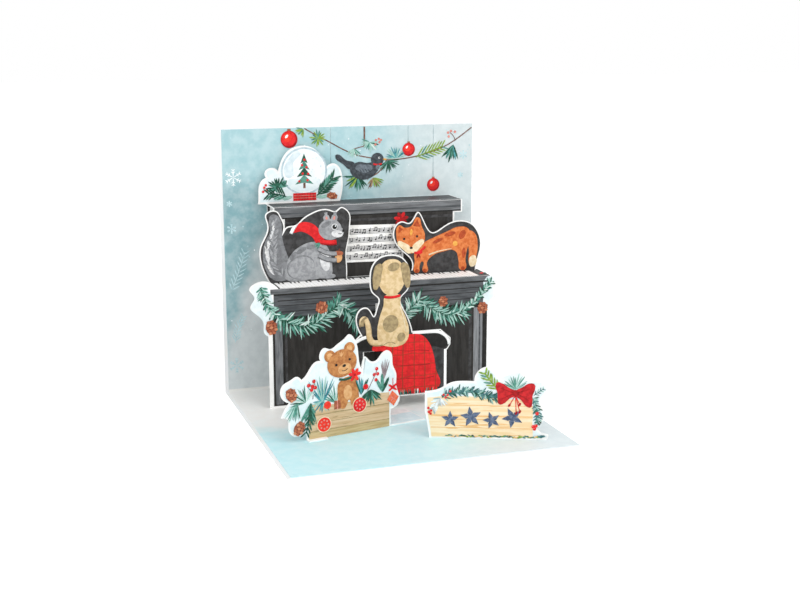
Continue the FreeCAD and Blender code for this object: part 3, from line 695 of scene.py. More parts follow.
class CARD_OT_print_back_panel(bpy.types.Operator):
    """Print the branch, baubles, bird and snow on the back panel"""

    bl_idname = "card.print_back_panel"
    bl_label = "Print the back panel"

    def execute(self, context):
        art = Print("back_panel_print", upright(0, BACK_FACE, 0), 11)
        for x, y, radius, ink in (
            (-59.7, 109.5, 4.6, "snow"), (-62.0, 96.6, 1.6, "faint_snow"),
            (-61.2, 84.0, 2.6, "faint_snow"), (-60.5, 14.0, 4.2, "faint_snow"),
            (61.6, 117.0, 2.4, "faint_snow"), (60.0, 106.5, 1.6, "faint_snow"),
        ):
            art.flake(ink, 0, x, y, radius, 0.5)
        for _ in range(110):
            x = art.rng.uniform(-64, 65)
            y = art.rng.uniform(30, 132)
            art.disc(art.rng.choice(("snow", "faint_snow")), 0, x, y, art.rng.uniform(0.15, 0.38))
        for top, bottom, x in ((132.7, 114.0, -9.9), (132.7, 124.0, 31.2), (132.7, 105.4, 44.9)):
            art.stroke("thread", 0, [(x, top), (x, bottom)], 0.3)
        art.stroke("twig_brown", 1, [(7.8, 132.7), (7.9, 128.0), (7.7, 122.8)], 0.9)
        branch = [
            (-23.4, 132.6), (-18.1, 129.5), (-10.5, 125.6), (-3.6, 121.6), (3.3, 118.5),
            (10.4, 117.0), (20.1, 115.3), (29.9, 116.0), (38.0, 117.4), (47.1, 119.7),
            (57.2, 124.5), (66.0, 131.0),
        ]
        art.stroke("twig_brown", 1, branch, 0.6)
        art.stroke("twig_brown", 1, [(19.5, 115.4), (17.0, 110.0), (9.5, 106.4), (0.5, 107.2)], 0.6)
        art.stroke("twig_brown", 1, [(7.7, 122.9), (3.0, 122.2), (-0.5, 120.4)], 0.5)
        art.tuft(MOSSES, 2, -16.5, 127.6, 90, 340, 4.8, 16, 0.75)
        art.tuft(MOSSES, 2, -23.8, 132.2, 215, 90, 4.8, 7, 0.7)
        art.tuft(GREENS, 2, 10.6, 124.8, 260, 200, 5.6, 13, 0.75)
        art.tuft(GREENS, 2, 2.4, 121.8, 262, 110, 5.6, 9, 0.7)
        art.tuft(TEALS, 2, 24.6, 116.4, 95, 170, 7.4, 14, 0.65)
        art.tuft(DEEP_GREENS, 2, 20.4, 115.2, 285, 150, 7.2, 14, 0.65)
        art.sprig(MOSSES, 2, [(35.4, 116.6), (42.5, 119.0), (50.2, 121.8)], 6.8, 38, 8, 0.75, "moss")
        art.tuft(("spruce_teal", "pine_dark", "pine_mid"), 2, 55.9, 122.4, 256, 62, 10.0, 11, 1.0)
        art.tuft(("moss", "pine_mid", "pine_dark"), 2, 4.4, 107.8, 244, 130, 8.8, 16, 0.85)
        art.tuft(("moss", "cream_patch", "twig_brown"), 2, 12.4, 106.8, 285, 110, 6.6, 11, 0.75)
        for path, long in (
            ([(-62.4, 52.0), (-58.0, 62.0), (-54.8, 72.0)], 5.0), (
                [(-61.0, 26.0), (-59.5, 33.0), (-56.5, 39.0)], 4.0,
            ),
        ):
            art.sprig(("faint_snow",), 0, path, long, 40, 9, 0.6, "faint_snow")
        art.stroke("twig_brown", 1, [(56.9, 124.3), (56.6, 127.0), (54.0, 128.6)], 0.35)
        art.berries(2, [(53.0, 128.6), (54.6, 129.4), (56.8, 128.9), (53.4, 126.6)], 0.65, "rose")
        art.berries(
            2, [(13.9, 125.8), (15.4, 126.4), (15.8, 124.7), (13.6, 123.6), (16.6, 125.8)], 0.6,
            "rose",
        )
        art.bauble(2, -31.2, 127.4, 4.3)
        art.bauble(2, 31.5, 120.6, 3.4)
        art.bauble(2, 45.0, 102.0, 3.4)
        self.add_bird(art)
        art.finish()
        return {"FINISHED"}

    def add_bird(self, art):
        """A small dark bird that sits on the lower twig."""
        tail = [(1.0, 111.4), (-3.6, 114.2), (-7.6, 118.4), (-6.6, 119.2), (-2.0, 116.2), (2.8, 114.0)]
        body = [
            (0.2, 112.0), (1.0, 108.8), (4.6, 106.4), (9.4, 106.2), (13.2, 108.4), (15.4, 112.4),
            (14.0, 114.4), (9.0, 114.4), (4.4, 115.0),
        ]
        art.shape("bird_dark", 3, tail)
        art.shape("bird_dark", 3, body)
        art.disc("bird_dark", 3, 14.6, 116.0, 3.4)
        art.shape("bird_light", 4, [(3.0, 112.4), (5.6, 110.0), (9.6, 109.8), (12.0, 112.2), (8.0, 113.6)])
        for k in range(4):
            art.needle("bird_dark", 5, 5.0 + k * 1.5, 111.6, 2.6, 0.45, 300)
        art.dab("bird_light", 4, 14.8, 112.2, 3.0, 2.2, 60, 10)
        art.dab("fox_yellow", 4, 18.6, 116.0, 2.2, 1.1, -6, 4)
        art.disc("snow", 4, 15.6, 116.8, 0.5)
        art.disc("line_black", 5, 15.7, 116.8, 0.28)
        art.stroke("red", 4, [(12.4, 113.8), (14.8, 112.8), (17.0, 113.8)], 0.9)
        for x in (7.6, 9.8):
            art.stroke("twig_brown", 2, [(x, 106.8), (x - 0.3, 105.8)], 0.4)


class CARD_OT_print_upper_case(bpy.types.Operator):
    """Print the roof, cornice, upper panel and music of the piano"""

    bl_idname = "card.print_upper_case"
    bl_label = "Print the upper case"

    def execute(self, context):
        roof = Print("piano_roof_print", flat(ROOF_TOP), 21)
        roof.block("roof_grey", 0, ROOF_LEFT + 0.5, UPPER_FACE + 0.12, ROOF_RIGHT - 0.5, BACK_FACE - 0.3)
        roof.block("cornice_grey", 1, ROOF_LEFT + 0.5, UPPER_FACE + 1.2, ROOF_RIGHT - 0.5, UPPER_FACE + 4.2)
        for _ in range(90):
            x = roof.rng.uniform(ROOF_LEFT + 1, ROOF_RIGHT - 1)
            y = UPPER_FACE + abs(roof.rng.gauss(0.3, 1.6)) + 0.3
            ink = roof.rng.choice(("worn_white", "cornice_grey", "cornice_grey"))
            roof.dab(
                ink, 2, x, min(y, BACK_FACE - 1), roof.rng.uniform(0.3, 1.6), 0.3,
                roof.rng.uniform(-8, 8),
            )
        roof.finish()

        tab = Print("roof_tab_print", upright(0, BACK_FACE - CARD, 0), 22)
        tab.block("charcoal", 0, ROOF_LEFT + 1.2, ROOF_TOP - 6.8, ROOF_LEFT + 2.4, ROOF_TOP - 0.7)
        tab.finish()

        art = Print("piano_upper_print", upright(0, UPPER_FACE, 0), 23)
        art.block("cornice_grey", 0, ROOF_LEFT + 0.7, ROOF_TOP - 5.4, ROOF_RIGHT - 0.7, ROOF_TOP - 0.15)
        art.block("panel_grey", 1, ROOF_LEFT + 0.7, ROOF_TOP - 3.7, ROOF_RIGHT - 0.7, ROOF_TOP - 2.9)
        art.block("line_black", 1, ROOF_LEFT + 0.7, ROOF_TOP - 5.8, ROOF_RIGHT - 0.7, ROOF_TOP - 5.1)
        panel_left = -38.4
        panel_right = 49.1
        art.block("piano_black", 0, panel_left, SHELF_TOP + 0.1, panel_right, ROOF_TOP - 5.7)
        art.block("charcoal", 1, panel_left, ROOF_TOP - 8.6, panel_right, ROOF_TOP - 7.3)
        art.block("charcoal", 1, 46.4, SHELF_TOP + 0.1, 47.4, ROOF_TOP - 8.8)
        self.add_music(art)
        art.poinsettia(3, 21.4, 87.6, 4.0)
        art.finish()
        return {"FINISHED"}

    def add_music(self, art):
        """Open sheets of music: four staves with bar lines and plain notes."""
        left = -9.5
        right = 22.5
        art.shape("music_paper", 1, [(left, 67.1), (left, 85.9), (right, 85.1), (right, 66.6)], False)
        gap = 0.58
        for stave in (82.3, 78.0, 73.8, 69.5):
            for line in range(5):
                y = stave + (line - 2) * gap
                art.block("staff_grey", 2, left + 0.6, y - 0.12, right - 0.6, y + 0.12)
            for bar in (-5.4, 4.8, 15.0):
                art.block("music_ink", 3, bar - 0.12, stave - 2 * gap, bar + 0.12, stave + 2 * gap)
            x = left + 2.0
            while x < right - 1.4:
                head = stave + art.rng.choice((-2, -1, 0, 1, 2)) * gap / 2
                pair = art.rng.random() < 0.4
                for step in (0.0, 1.2) if pair else (0.0,):
                    art.dab("music_ink", 3, x + step, head, 1.05, 0.75, 20, 10)
                    art.block("music_ink", 3, x + step + 0.26, head, x + step + 0.46, head + 1.6)
                if pair:
                    art.block("music_ink", 4, x + 0.26, head + 1.3, x + 1.66, head + 1.7)
                    x += 1.2
                x += art.rng.choice((1.4, 1.8, 2.4))


class CARD_OT_print_lower_case(bpy.types.Operator):
    """Print the keys, key slip, panels, pilasters and garland of the piano"""

    bl_idname = "card.print_lower_case"
    bl_label = "Print the lower case"

    def execute(self, context):
        self.print_keys(context.scene.card_sizes)
        art = Print("piano_lower_print", upright(0, LOWER_FACE, 0), 32)
        left = -49.7
        right = 61.2
        art.block("slip_grey", 0, -50.4, SHELF_TOP - 2.6, 62.4, SHELF_TOP - 0.1)
        art.block("line_black", 1, -48.9, SHELF_TOP - 3.3, 62.0, SHELF_TOP - 2.5)
        art.block("panel_grey", 0, -48.9, 45.2, 59.0, SHELF_TOP - 3.2)
        for z, tall in ((53.6, 0.4), (51.3, 0.25), (48.2, 0.3)):
            art.block("line_black", 1, -47.0, z, 57.4, z + tall)
        art.block("line_black", 1, -48.9, 44.6, 59.0, 45.8)
        art.block("piano_black", 0, left, 1.7, right, 44.8)
        art.block("pilaster_grey", 1, -48.6, 2.4, -44.9, 43.6)
        art.block("line_black", 1, -44.9, 2.4, -44.0, 43.6)
        art.block("charcoal", 1, -43.6, 2.4, -42.6, 43.0)
        art.block("pilaster_light", 1, 54.0, 2.4, 58.8, 43.6)
        art.block("panel_grey", 2, 56.8, 2.4, 57.6, 43.6)
        art.block("line_black", 1, 58.8, 1.9, right, 44.0)
        art.block("charcoal", 1, 51.4, 2.4, 53.0, 43.0)
        art.block("charcoal", 1, -42.4, 2.2, 51.4, 3.4)
        for _ in range(26):
            x = art.rng.uniform(-41, 50)
            y = art.rng.uniform(14, 32)
            art.dab("piano_black", 1, x, y, art.rng.uniform(8, 18), art.rng.uniform(0.6, 1.6), 90, 6)
        art.finish()
        self.print_garland(context.scene.card_sizes)
        return {"FINISHED"}

    def print_keys(self, sizes):
        """White keys to the front of the shelf, with black keys behind them."""
        art = Print("key_shelf_print", flat(SHELF_TOP), 31)
        front = LOWER_FACE
        back = UPPER_FACE - 0.6
        art.block("charcoal", 0, -52.4, front + 0.12, 62.4, back)
        keys_left = -45.4
        keys_right = 56.6
        art.block("key_white", 2, keys_left, front + 0.3, keys_right, front + 13.6)
        pitch = sizes.key_pitch / MM
        number = int((keys_right - keys_left) / pitch)
        for k in range(1, number):
            x = keys_left + k * pitch
            art.block("key_gap", 3, x - 0.06, front + 0.3, x + 0.06, front + 13.6)
            if k % 7 not in (0, 3):
                art.block("line_black", 4, x - 0.38, front + 10.2, x + 0.38, front + 14.0)
        art.tuft(DEEP_GREENS, 3, 60.6, front + 5.2, 20, 60, 3.0, 4, 1.0)
        art.berries(4, [(59.7, front + 4.8), (60.9, front + 6.4)], 0.9)
        art.finish()

    def print_garland(self, sizes):
        """A fir garland in two swags with pine cones, on the case and past its ends."""
        art = Print("garland_print", upright(0, LOWER_FACE, 0), 33)
        reach = sizes.needle / MM
        left_spray = [
            (-59.6, 47.6), (-56.4, 44.6), (-56.0, 39.6), (-52.4, 37.0), (-52.2, 61.4), (-55.0, 62.4),
            (-59.6, 60.8), (-58.4, 56.4), (-59.8, 51.8),
        ]
        right_spray = [
            (64.5, 48.8), (62.3, 46.2), (60.7, 42.6), (60.6, 58.7), (64.0, 58.7), (65.2, 57.0),
            (64.3, 54.6), (64.3, 51.2),
        ]
        art.shape("pale_wash", 0, left_spray)
        art.shape("pale_wash", 0, right_spray)
        swags = (
            ([(-55.0, 61.0), (-53.4, 55.2), (-50.6, 49.6), (-46.6, 45.6)], 15, 4.4, 4.0),
            (
                [(-46.8, 45.4), (-40.7, 42.2), (-33.5, 40.4), (-26.2, 42.6), (-21.2, 47.0), (-16.6, 50.4)],
                30, reach, reach * 1.1,
            ),
            ([(-17.0, 50.6), (-12.0, 46.4), (-8.6, 42.0), (-5.2, 38.2)], 17, reach, reach),
            ([(14.0, 39.0), (17.4, 43.0), (21.0, 46.8), (25.0, 49.6)], 16, reach, reach),
            ([(24.6, 49.8), (30.9, 45.0), (37.0, 41.6), (42.4, 40.8), (48.6, 41.8)], 26, reach, reach * 1.1),
            ([(48.0, 41.6), (53.5, 46.0), (58.0, 50.4), (61.2, 53.8), (62.9, 56.2)], 20, 3.6, 3.0),
        )
        for path, count, above, below in swags:
            art.stroke("pine_dark", 3, path, 1.3)
            art.garland(("pine_dark", "pine_dark", "pine_mid"), 3, path, above, below, count, 0.95)
            art.garland(
                ("pine_mid", "pine_light", "pine_light", "pine_pale"), 4, path, above, below,
                count, 0.7,
            )
        for x, y, wide, tall, turn in (
            (-50.3, 41.1, 5.6, 7.0, 10), (-25.3, 49.2, 6.2, 5.8, 80), (37.3, 47.9, 4.8, 5.2, 0),
            (58.6, 43.2, 5.6, 5.8, 0),
        ):
            art.cone(5, x, y, wide, tall, turn)
        art.trim("piano_lower_case")
        art.finish()


class CARD_OT_print_snow_globe(bpy.types.Operator):
    """Print the snow globe with its fir, berries and cone"""

    bl_idname = "card.print_snow_globe"
    bl_label = "Print the snow globe"

    def execute(self, context):
        art = Print("snow_globe_print", upright(0, GLOBE_FACE, 0), 41)
        art.inner_field("pale_wash", 0, "snow_globe", context.scene.card_sizes.leaf_edge / MM)
        x, y = -24.8, 111.9
        art.disc("globe_rim", 1, x, y, 11.8)
        art.disc("snow", 2, x, y, 10.9)
        art.shape("globe_glass", 3, [
            (x - 9.8, y - 2), (x - 8.0, y + 6.0), (x - 2, y + 9.8), (x - 5.4, y + 4.4), (x - 6.6, y - 3),
        ])
        art.shape(
            "pale_wash", 3,
            [(x - 8.6, y - 5.4), (x - 3, y - 3.6), (x + 3, y - 4.2), (x + 8.6, y - 5.2), (x, y - 10.2)],
        )
        for row, (wide, z) in enumerate(((9.4, -6.6), (7.6, -2.9), (5.6, 0.6), (3.6, 3.9))):
            points = [(x - wide / 2, y + z), (x, y + z + 4.8), (x + wide / 2, y + z), (x, y + z + 0.9)]
            art.shape("pine_dark" if row % 2 else "pine_mid", 4, points, False)
        art.block("twig_brown", 3, x - 0.6, y - 8.6, x + 0.6, y - 5.8)
        for dx, dy in (
            (-2.6, -5.0), (1.6, -4.6), (-0.8, -1.2), (2.0, -1.4), (1.2, 1.9), (-1.1, 3.0),
            (0.2, 5.6),
        ):
            art.disc("red", 5, x + dx, y + dy, 0.6)
        for _ in range(26):
            turn = art.rng.uniform(0, 360)
            far = art.rng.uniform(3.5, 9.6)
            dx, dy = math.cos(math.radians(turn)) * far, math.sin(math.radians(turn)) * far
            art.disc("globe_glass", 3, x + dx, y + dy, art.rng.uniform(0.2, 0.4))
        art.tuft(DEEP_GREENS, 3, -38.4, 104.0, 112, 200, 6.6, 13, 0.95)
        art.sprig(
            DEEP_GREENS, 3, [(-34.0, 99.4), (-38.8, 101.4), (-43.4, 101.2)], 5.8, 42, 7, 0.9,
            "pine_dark",
        )
        art.sprig(
            DEEP_GREENS, 3, [(-18.4, 99.4), (-13.4, 104.2), (-9.8, 108.0)], 7.2, 32, 8, 0.95,
            "pine_dark",
        )
        art.tuft(DEEP_GREENS, 3, -35.0, 104.8, 100, 60, 3.6, 5, 0.8)
        for x0, turn in ((-38.0, 8), (-33.5, 14), (-17.0, -6), (-14.6, 12)):
            art.dab("pine_light", 3, x0, 98.8, 5.4, 1.9, turn, 8)
        art.berries(3, [(-45.2, 104.4), (-44.0, 103.0), (-45.8, 102.4), (-44.4, 105.6)], 0.65)
        self.add_band(art)
        art.cone(4, -10.6, 99.0, 3.4, 5.4, 80)
        art.finish()
        return {"FINISHED"}

    def add_band(self, art):
        """The globe's foot, a band of red cloth with fine checks."""
        left, bottom, right, top = -30.6, 97.2, -18.8, 101.0
        art.block("red", 4, left, bottom, right, top)
        for k in range(1, 8):
            x = left + k * (right - left) / 8
            art.block("red_dark", 5, x - 0.14, bottom, x + 0.14, top)
        for k in range(1, 3):
            y = bottom + k * (top - bottom) / 3
            art.block("rose", 6, left, y - 0.12, right, y + 0.12)


class CARD_OT_print_figures(bpy.types.Operator):
    """Print the squirrel and the fox that stand on the keys"""

    bl_idname = "card.print_figures"
    bl_label = "Print the squirrel and the fox"

    def execute(self, context):
        margin = context.scene.card_sizes.figure_edge / MM
        self.print_squirrel(margin)
        self.print_fox(margin)
        return {"FINISHED"}

    def print_squirrel(self, margin):
        """Grey squirrel with a bushy tail and a red scarf."""
        node = "squirrel"
        art = Print("squirrel_print", upright(0, FIGURE_FACE, 0), 51)
        art.inner_field("charcoal", 0, node, margin)
        art.shape("charcoal", 0, on_plate(node, [
            (0.115, 0.003), (0.1, 0.05), (0.945, 0.05), (0.945, 0.003),
        ]), False)
        tail = on_plate(node, [
            (0.3, 0.04), (0.14, 0.05), (0.055, 0.22), (0.035, 0.42), (0.065, 0.58), (0.115, 0.7),
            (0.105, 0.84), (0.13, 0.93), (0.19, 0.93), (0.235, 0.85), (0.245, 0.72), (0.25, 0.6),
            (0.28, 0.45), (0.33, 0.25), (0.34, 0.1),
        ])
        body = on_plate(node, [
            (0.28, 0.04), (0.28, 0.2), (0.34, 0.38), (0.46, 0.5), (0.6, 0.54), (0.71, 0.5),
            (0.77, 0.36), (0.79, 0.2), (0.77, 0.05), (0.6, 0.03),
        ])
        art.shape("fur_patch", 1, tail)
        middle = on_plate(node, [(0.25, 0.08), (0.15, 0.3), (0.145, 0.55), (0.18, 0.72), (0.17, 0.88)])
        edge = on_plate(
            node,
            [(0.16, 0.1), (0.095, 0.25), (0.08, 0.45), (0.12, 0.62), (0.15, 0.74), (0.145, 0.86)],
        )
        for path, inks, leans, count in (
            (middle, ("fur_grey", "fur_patch", "fur_grey"), (30, -30), 48),
            (edge, ("fur_light", "fur_grey", "fur_light", "worn_white"), (16, -12), 30),
        ):
            for k in range(count):
                x, y, turn = along_path(path, (k + 0.5) / (count + 2))
                reach = 4.6 * art.rng.uniform(0.6, 1.0) * (1.0 if k < count * 0.6 else 0.6)
                art.needle(art.rng.choice(inks), 2, x, y, reach, 0.75, turn + leans[k % 2])
        art.shape("fur_grey", 3, body)
        for across, up, long, wide, turn in (
            (0.36, 0.36, 5.0, 2.2, 52), (0.45, 0.43, 5.6, 2.4, 30), (0.56, 0.47, 5.0, 2.2, 6),
        ):
            art.dab("fur_patch", 4, *spot(node, across, up), long, wide, turn, 16)
        x, y = spot(node, 0.44, 0.2)
        art.dab("fur_patch", 4, x, y, 14.4, 11.4, 18, 32)
        art.dab("fur_grey", 5, x + 0.3, y - 0.3, 13.4, 10.6, 18, 32)
        art.dab("fur_light", 4, *spot(node, 0.71, 0.27), 10.6, 5.0, 100, 24)
        for x, y in on_plate(node, [(0.58, 0.05), (0.75, 0.05)]):
            art.dab("fur_grey", 6, x, y, 7.0, 2.6, 0, 16)
        x, y = spot(node, 0.86, 0.34)
        art.dab("bear_light", 5, x, y - 1.4, 5.0, 3.8, 80, 16)
        art.dab("cone_brown", 6, x + 0.2, y + 0.9, 4.6, 2.4, -8, 14)
        art.dab("cone_dark", 6, x + 0.4, y + 2.5, 1.3, 0.6, 80, 8)
        for low in (0.35, 0.26):
            art.stroke(
                "fur_patch", 6,
                on_plate(node, [(0.64, low + 0.09), (0.74, low), (0.84, low + 0.01)]), 2.5,
            )
            art.stroke(
                "fur_grey", 7,
                on_plate(node, [(0.64, low + 0.09), (0.74, low), (0.84, low + 0.01)]), 1.9,
            )
        scarf = on_plate(node, [
            (0.7, 0.56), (0.64, 0.72), (0.54, 0.81), (0.42, 0.8), (0.35, 0.7), (0.46, 0.69),
            (0.57, 0.61), (0.64, 0.5),
        ])
        art.shape("red", 4, scarf)
        art.stroke("snow", 5, on_plate(node, [(0.415, 0.82), (0.37, 0.75), (0.34, 0.67)]), 1.7)
        head = spot(node, 0.77, 0.7)
        snout = spot(node, 0.865, 0.66)
        for across, turn in ((0.815, 74), (0.735, 104)):
            ear = spot(node, across, 0.835)
            art.dab("fur_grey", 4, *ear, 6.4, 3.6, turn, 6)
            art.dab("rose", 5, ear[0], ear[1] + 0.4, 3.0, 1.2, turn, 6)
            for lean in (-16, 0, 16):
                art.needle("fur_grey", 4, ear[0], ear[1] + 1.4, 2.8, 0.5, turn + lean)
        art.dab("fur_grey", 5, *head, 11.8, 10.4, -8, 32)
        art.dab("fur_patch", 6, head[0] - 2.0, head[1] + 2.6, 5.6, 2.4, 24, 20)
        art.dab("fur_grey", 5, *snout, 5.4, 5.0, -12, 20)
        art.dab("fur_light", 6, snout[0] - 0.8, snout[1] - 0.9, 6.0, 3.6, -8, 20)
        art.disc("fur_light", 6, head[0] + 2.2, head[1] + 1.2, 1.55)
        art.disc("line_black", 7, head[0] + 2.3, head[1] + 1.2, 1.15)
        art.disc("snow", 8, head[0] + 2.7, head[1] + 1.6, 0.35)
        art.dab("line_black", 7, snout[0] + 2.3, snout[1] + 0.5, 1.5, 1.1, 80, 10)
        art.stroke("line_black", 7, [
            (snout[0] + 1.6, snout[1] - 0.7), (snout[0] + 0.7, snout[1] - 1.3), (
                snout[0] - 0.2, snout[1] - 0.8,
            ),
        ], 0.3)
        neck = on_plate(node, [(0.63, 0.56), (0.72, 0.5), (0.84, 0.52)])
        art.stroke("red", 6, neck, 2.6)
        art.stroke("red_dark", 7, [(x, y - 0.7) for x, y in neck], 0.5)
        for turn in (190, 215, 240):
            art.needle("pine_mid", 7, *spot(node, 0.66, 0.52), 3.4, 0.8, turn)
        art.trim("squirrel")
        art.finish()

    def print_fox(self, margin):
        """Orange fox with cream cheeks, dark patches and a brush."""
        node = "fox"
        art = Print("fox_print", upright(0, FIGURE_FACE, 0), 52)
        art.inner_field("charcoal", 0, node, margin)
        art.shape("charcoal", 0, on_plate(node, [
            (0.194, 0.003), (0.194, 0.06), (0.93, 0.06), (0.928, 0.003),
        ]), False)
        brush = on_plate(node, [
            (0.84, 0.66), (0.92, 0.62), (0.96, 0.44), (0.94, 0.2), (0.9, 0.06), (0.86, 0.14),
            (0.86, 0.32), (0.84, 0.46), (0.78, 0.6),
        ])
        body = on_plate(node, [
            (0.24, 0.36), (0.34, 0.5), (0.46, 0.58), (0.6, 0.66), (0.74, 0.73), (0.85, 0.69),
            (0.88, 0.54), (0.84, 0.36), (0.82, 0.2), (0.82, 0.03), (0.76, 0.03), (0.74, 0.18),
            (0.7, 0.34), (0.56, 0.34), (0.44, 0.28), (0.38, 0.18), (0.385, 0.03), (0.335, 0.03),
            (0.33, 0.2), (0.295, 0.12), (0.29, 0.03), (0.24, 0.03), (0.24, 0.2),
        ])
        art.shape("fox_orange", 1, brush)
        art.shape("cream_light", 2, on_plate(node, [(0.945, 0.22), (0.9, 0.06), (0.86, 0.16), (0.9, 0.25)]))
        art.shape("fox_orange", 2, body)
        for across, up, long, wide, turn in (
            (0.5, 0.52, 6.0, 1.8, 20), (0.64, 0.62, 6.4, 2.2, 12), (0.78, 0.6, 5.0, 3.4, 60),
            (0.8, 0.3, 5.4, 2.0, 88),
        ):
            x, y = spot(node, across, up)
            art.dab("fox_patch", 3, x, y, long, wide, turn, 16)
        art.disc("fox_yellow", 3, *spot(node, 0.7, 0.46), 1.3)
        for x, y in on_plate(node, [(0.355, 0.05), (0.265, 0.05), (0.79, 0.05)]):
            art.dab("fox_patch", 3, x, y, 2.2, 2.0, 0, 10)
        art.stroke("cream_light", 3, on_plate(node, [(0.4, 0.3), (0.5, 0.36), (0.66, 0.38)]), 0.9, (1.0, 0.3))
        head = on_plate(node, [
            (0.06, 0.8), (0.035, 0.62), (0.07, 0.47), (0.14, 0.39), (0.2, 0.34), (0.26, 0.38),
            (0.33, 0.47), (0.355, 0.62), (0.32, 0.76), (0.27, 0.92), (0.2, 0.78), (0.13, 0.76),
        ])
        art.shape("fox_orange", 4, head)
        for points in (
            [(0.062, 0.78), (0.055, 0.67), (0.11, 0.74)], [(0.268, 0.89), (0.22, 0.78), (0.3, 0.76)],
        ):
            art.shape("fox_patch", 5, on_plate(node, points), False)
        art.shape(
            "cream_light", 5,
            on_plate(node, [(0.05, 0.54), (0.12, 0.52), (0.19, 0.44), (0.2, 0.35), (0.1, 0.42)]),
        )
        art.shape(
            "cream_light", 5,
            on_plate(node, [(0.34, 0.55), (0.27, 0.53), (0.21, 0.44), (0.21, 0.35), (0.3, 0.43)]),
        )
        for x, y in on_plate(node, [(0.12, 0.58), (0.265, 0.61)]):
            art.disc("line_black", 6, x, y, 0.6)
        x, y = spot(node, 0.2, 0.43)
        art.dab("line_black", 6, x, y, 1.7, 1.2, 0, 10)
        art.dab("fox_yellow", 5, *spot(node, 0.2, 0.68), 3.4, 1.4, 85, 10)
        for side in (-1, 1):
            for turn in (-8, 10):
                aim = turn if side > 0 else 180 - turn
                art.needle("cream_light", 6, x + side * 2.6, y + 0.6, 3.2, 0.2, aim)
        art.stroke("red", 5, on_plate(node, [(0.25, 0.34), (0.31, 0.36), (0.36, 0.44)]), 1.0)
        knot = spot(node, 0.28, 0.33)
        art.needle("red", 6, *knot, 2.6, 1.4, 160)
        art.needle("red", 6, *knot, 2.6, 1.4, 20)
        art.needle("red_dark", 6, *knot, 2.6, 0.8, 250)
        art.needle("red_dark", 6, *knot, 2.6, 0.8, 295)
        art.finish()


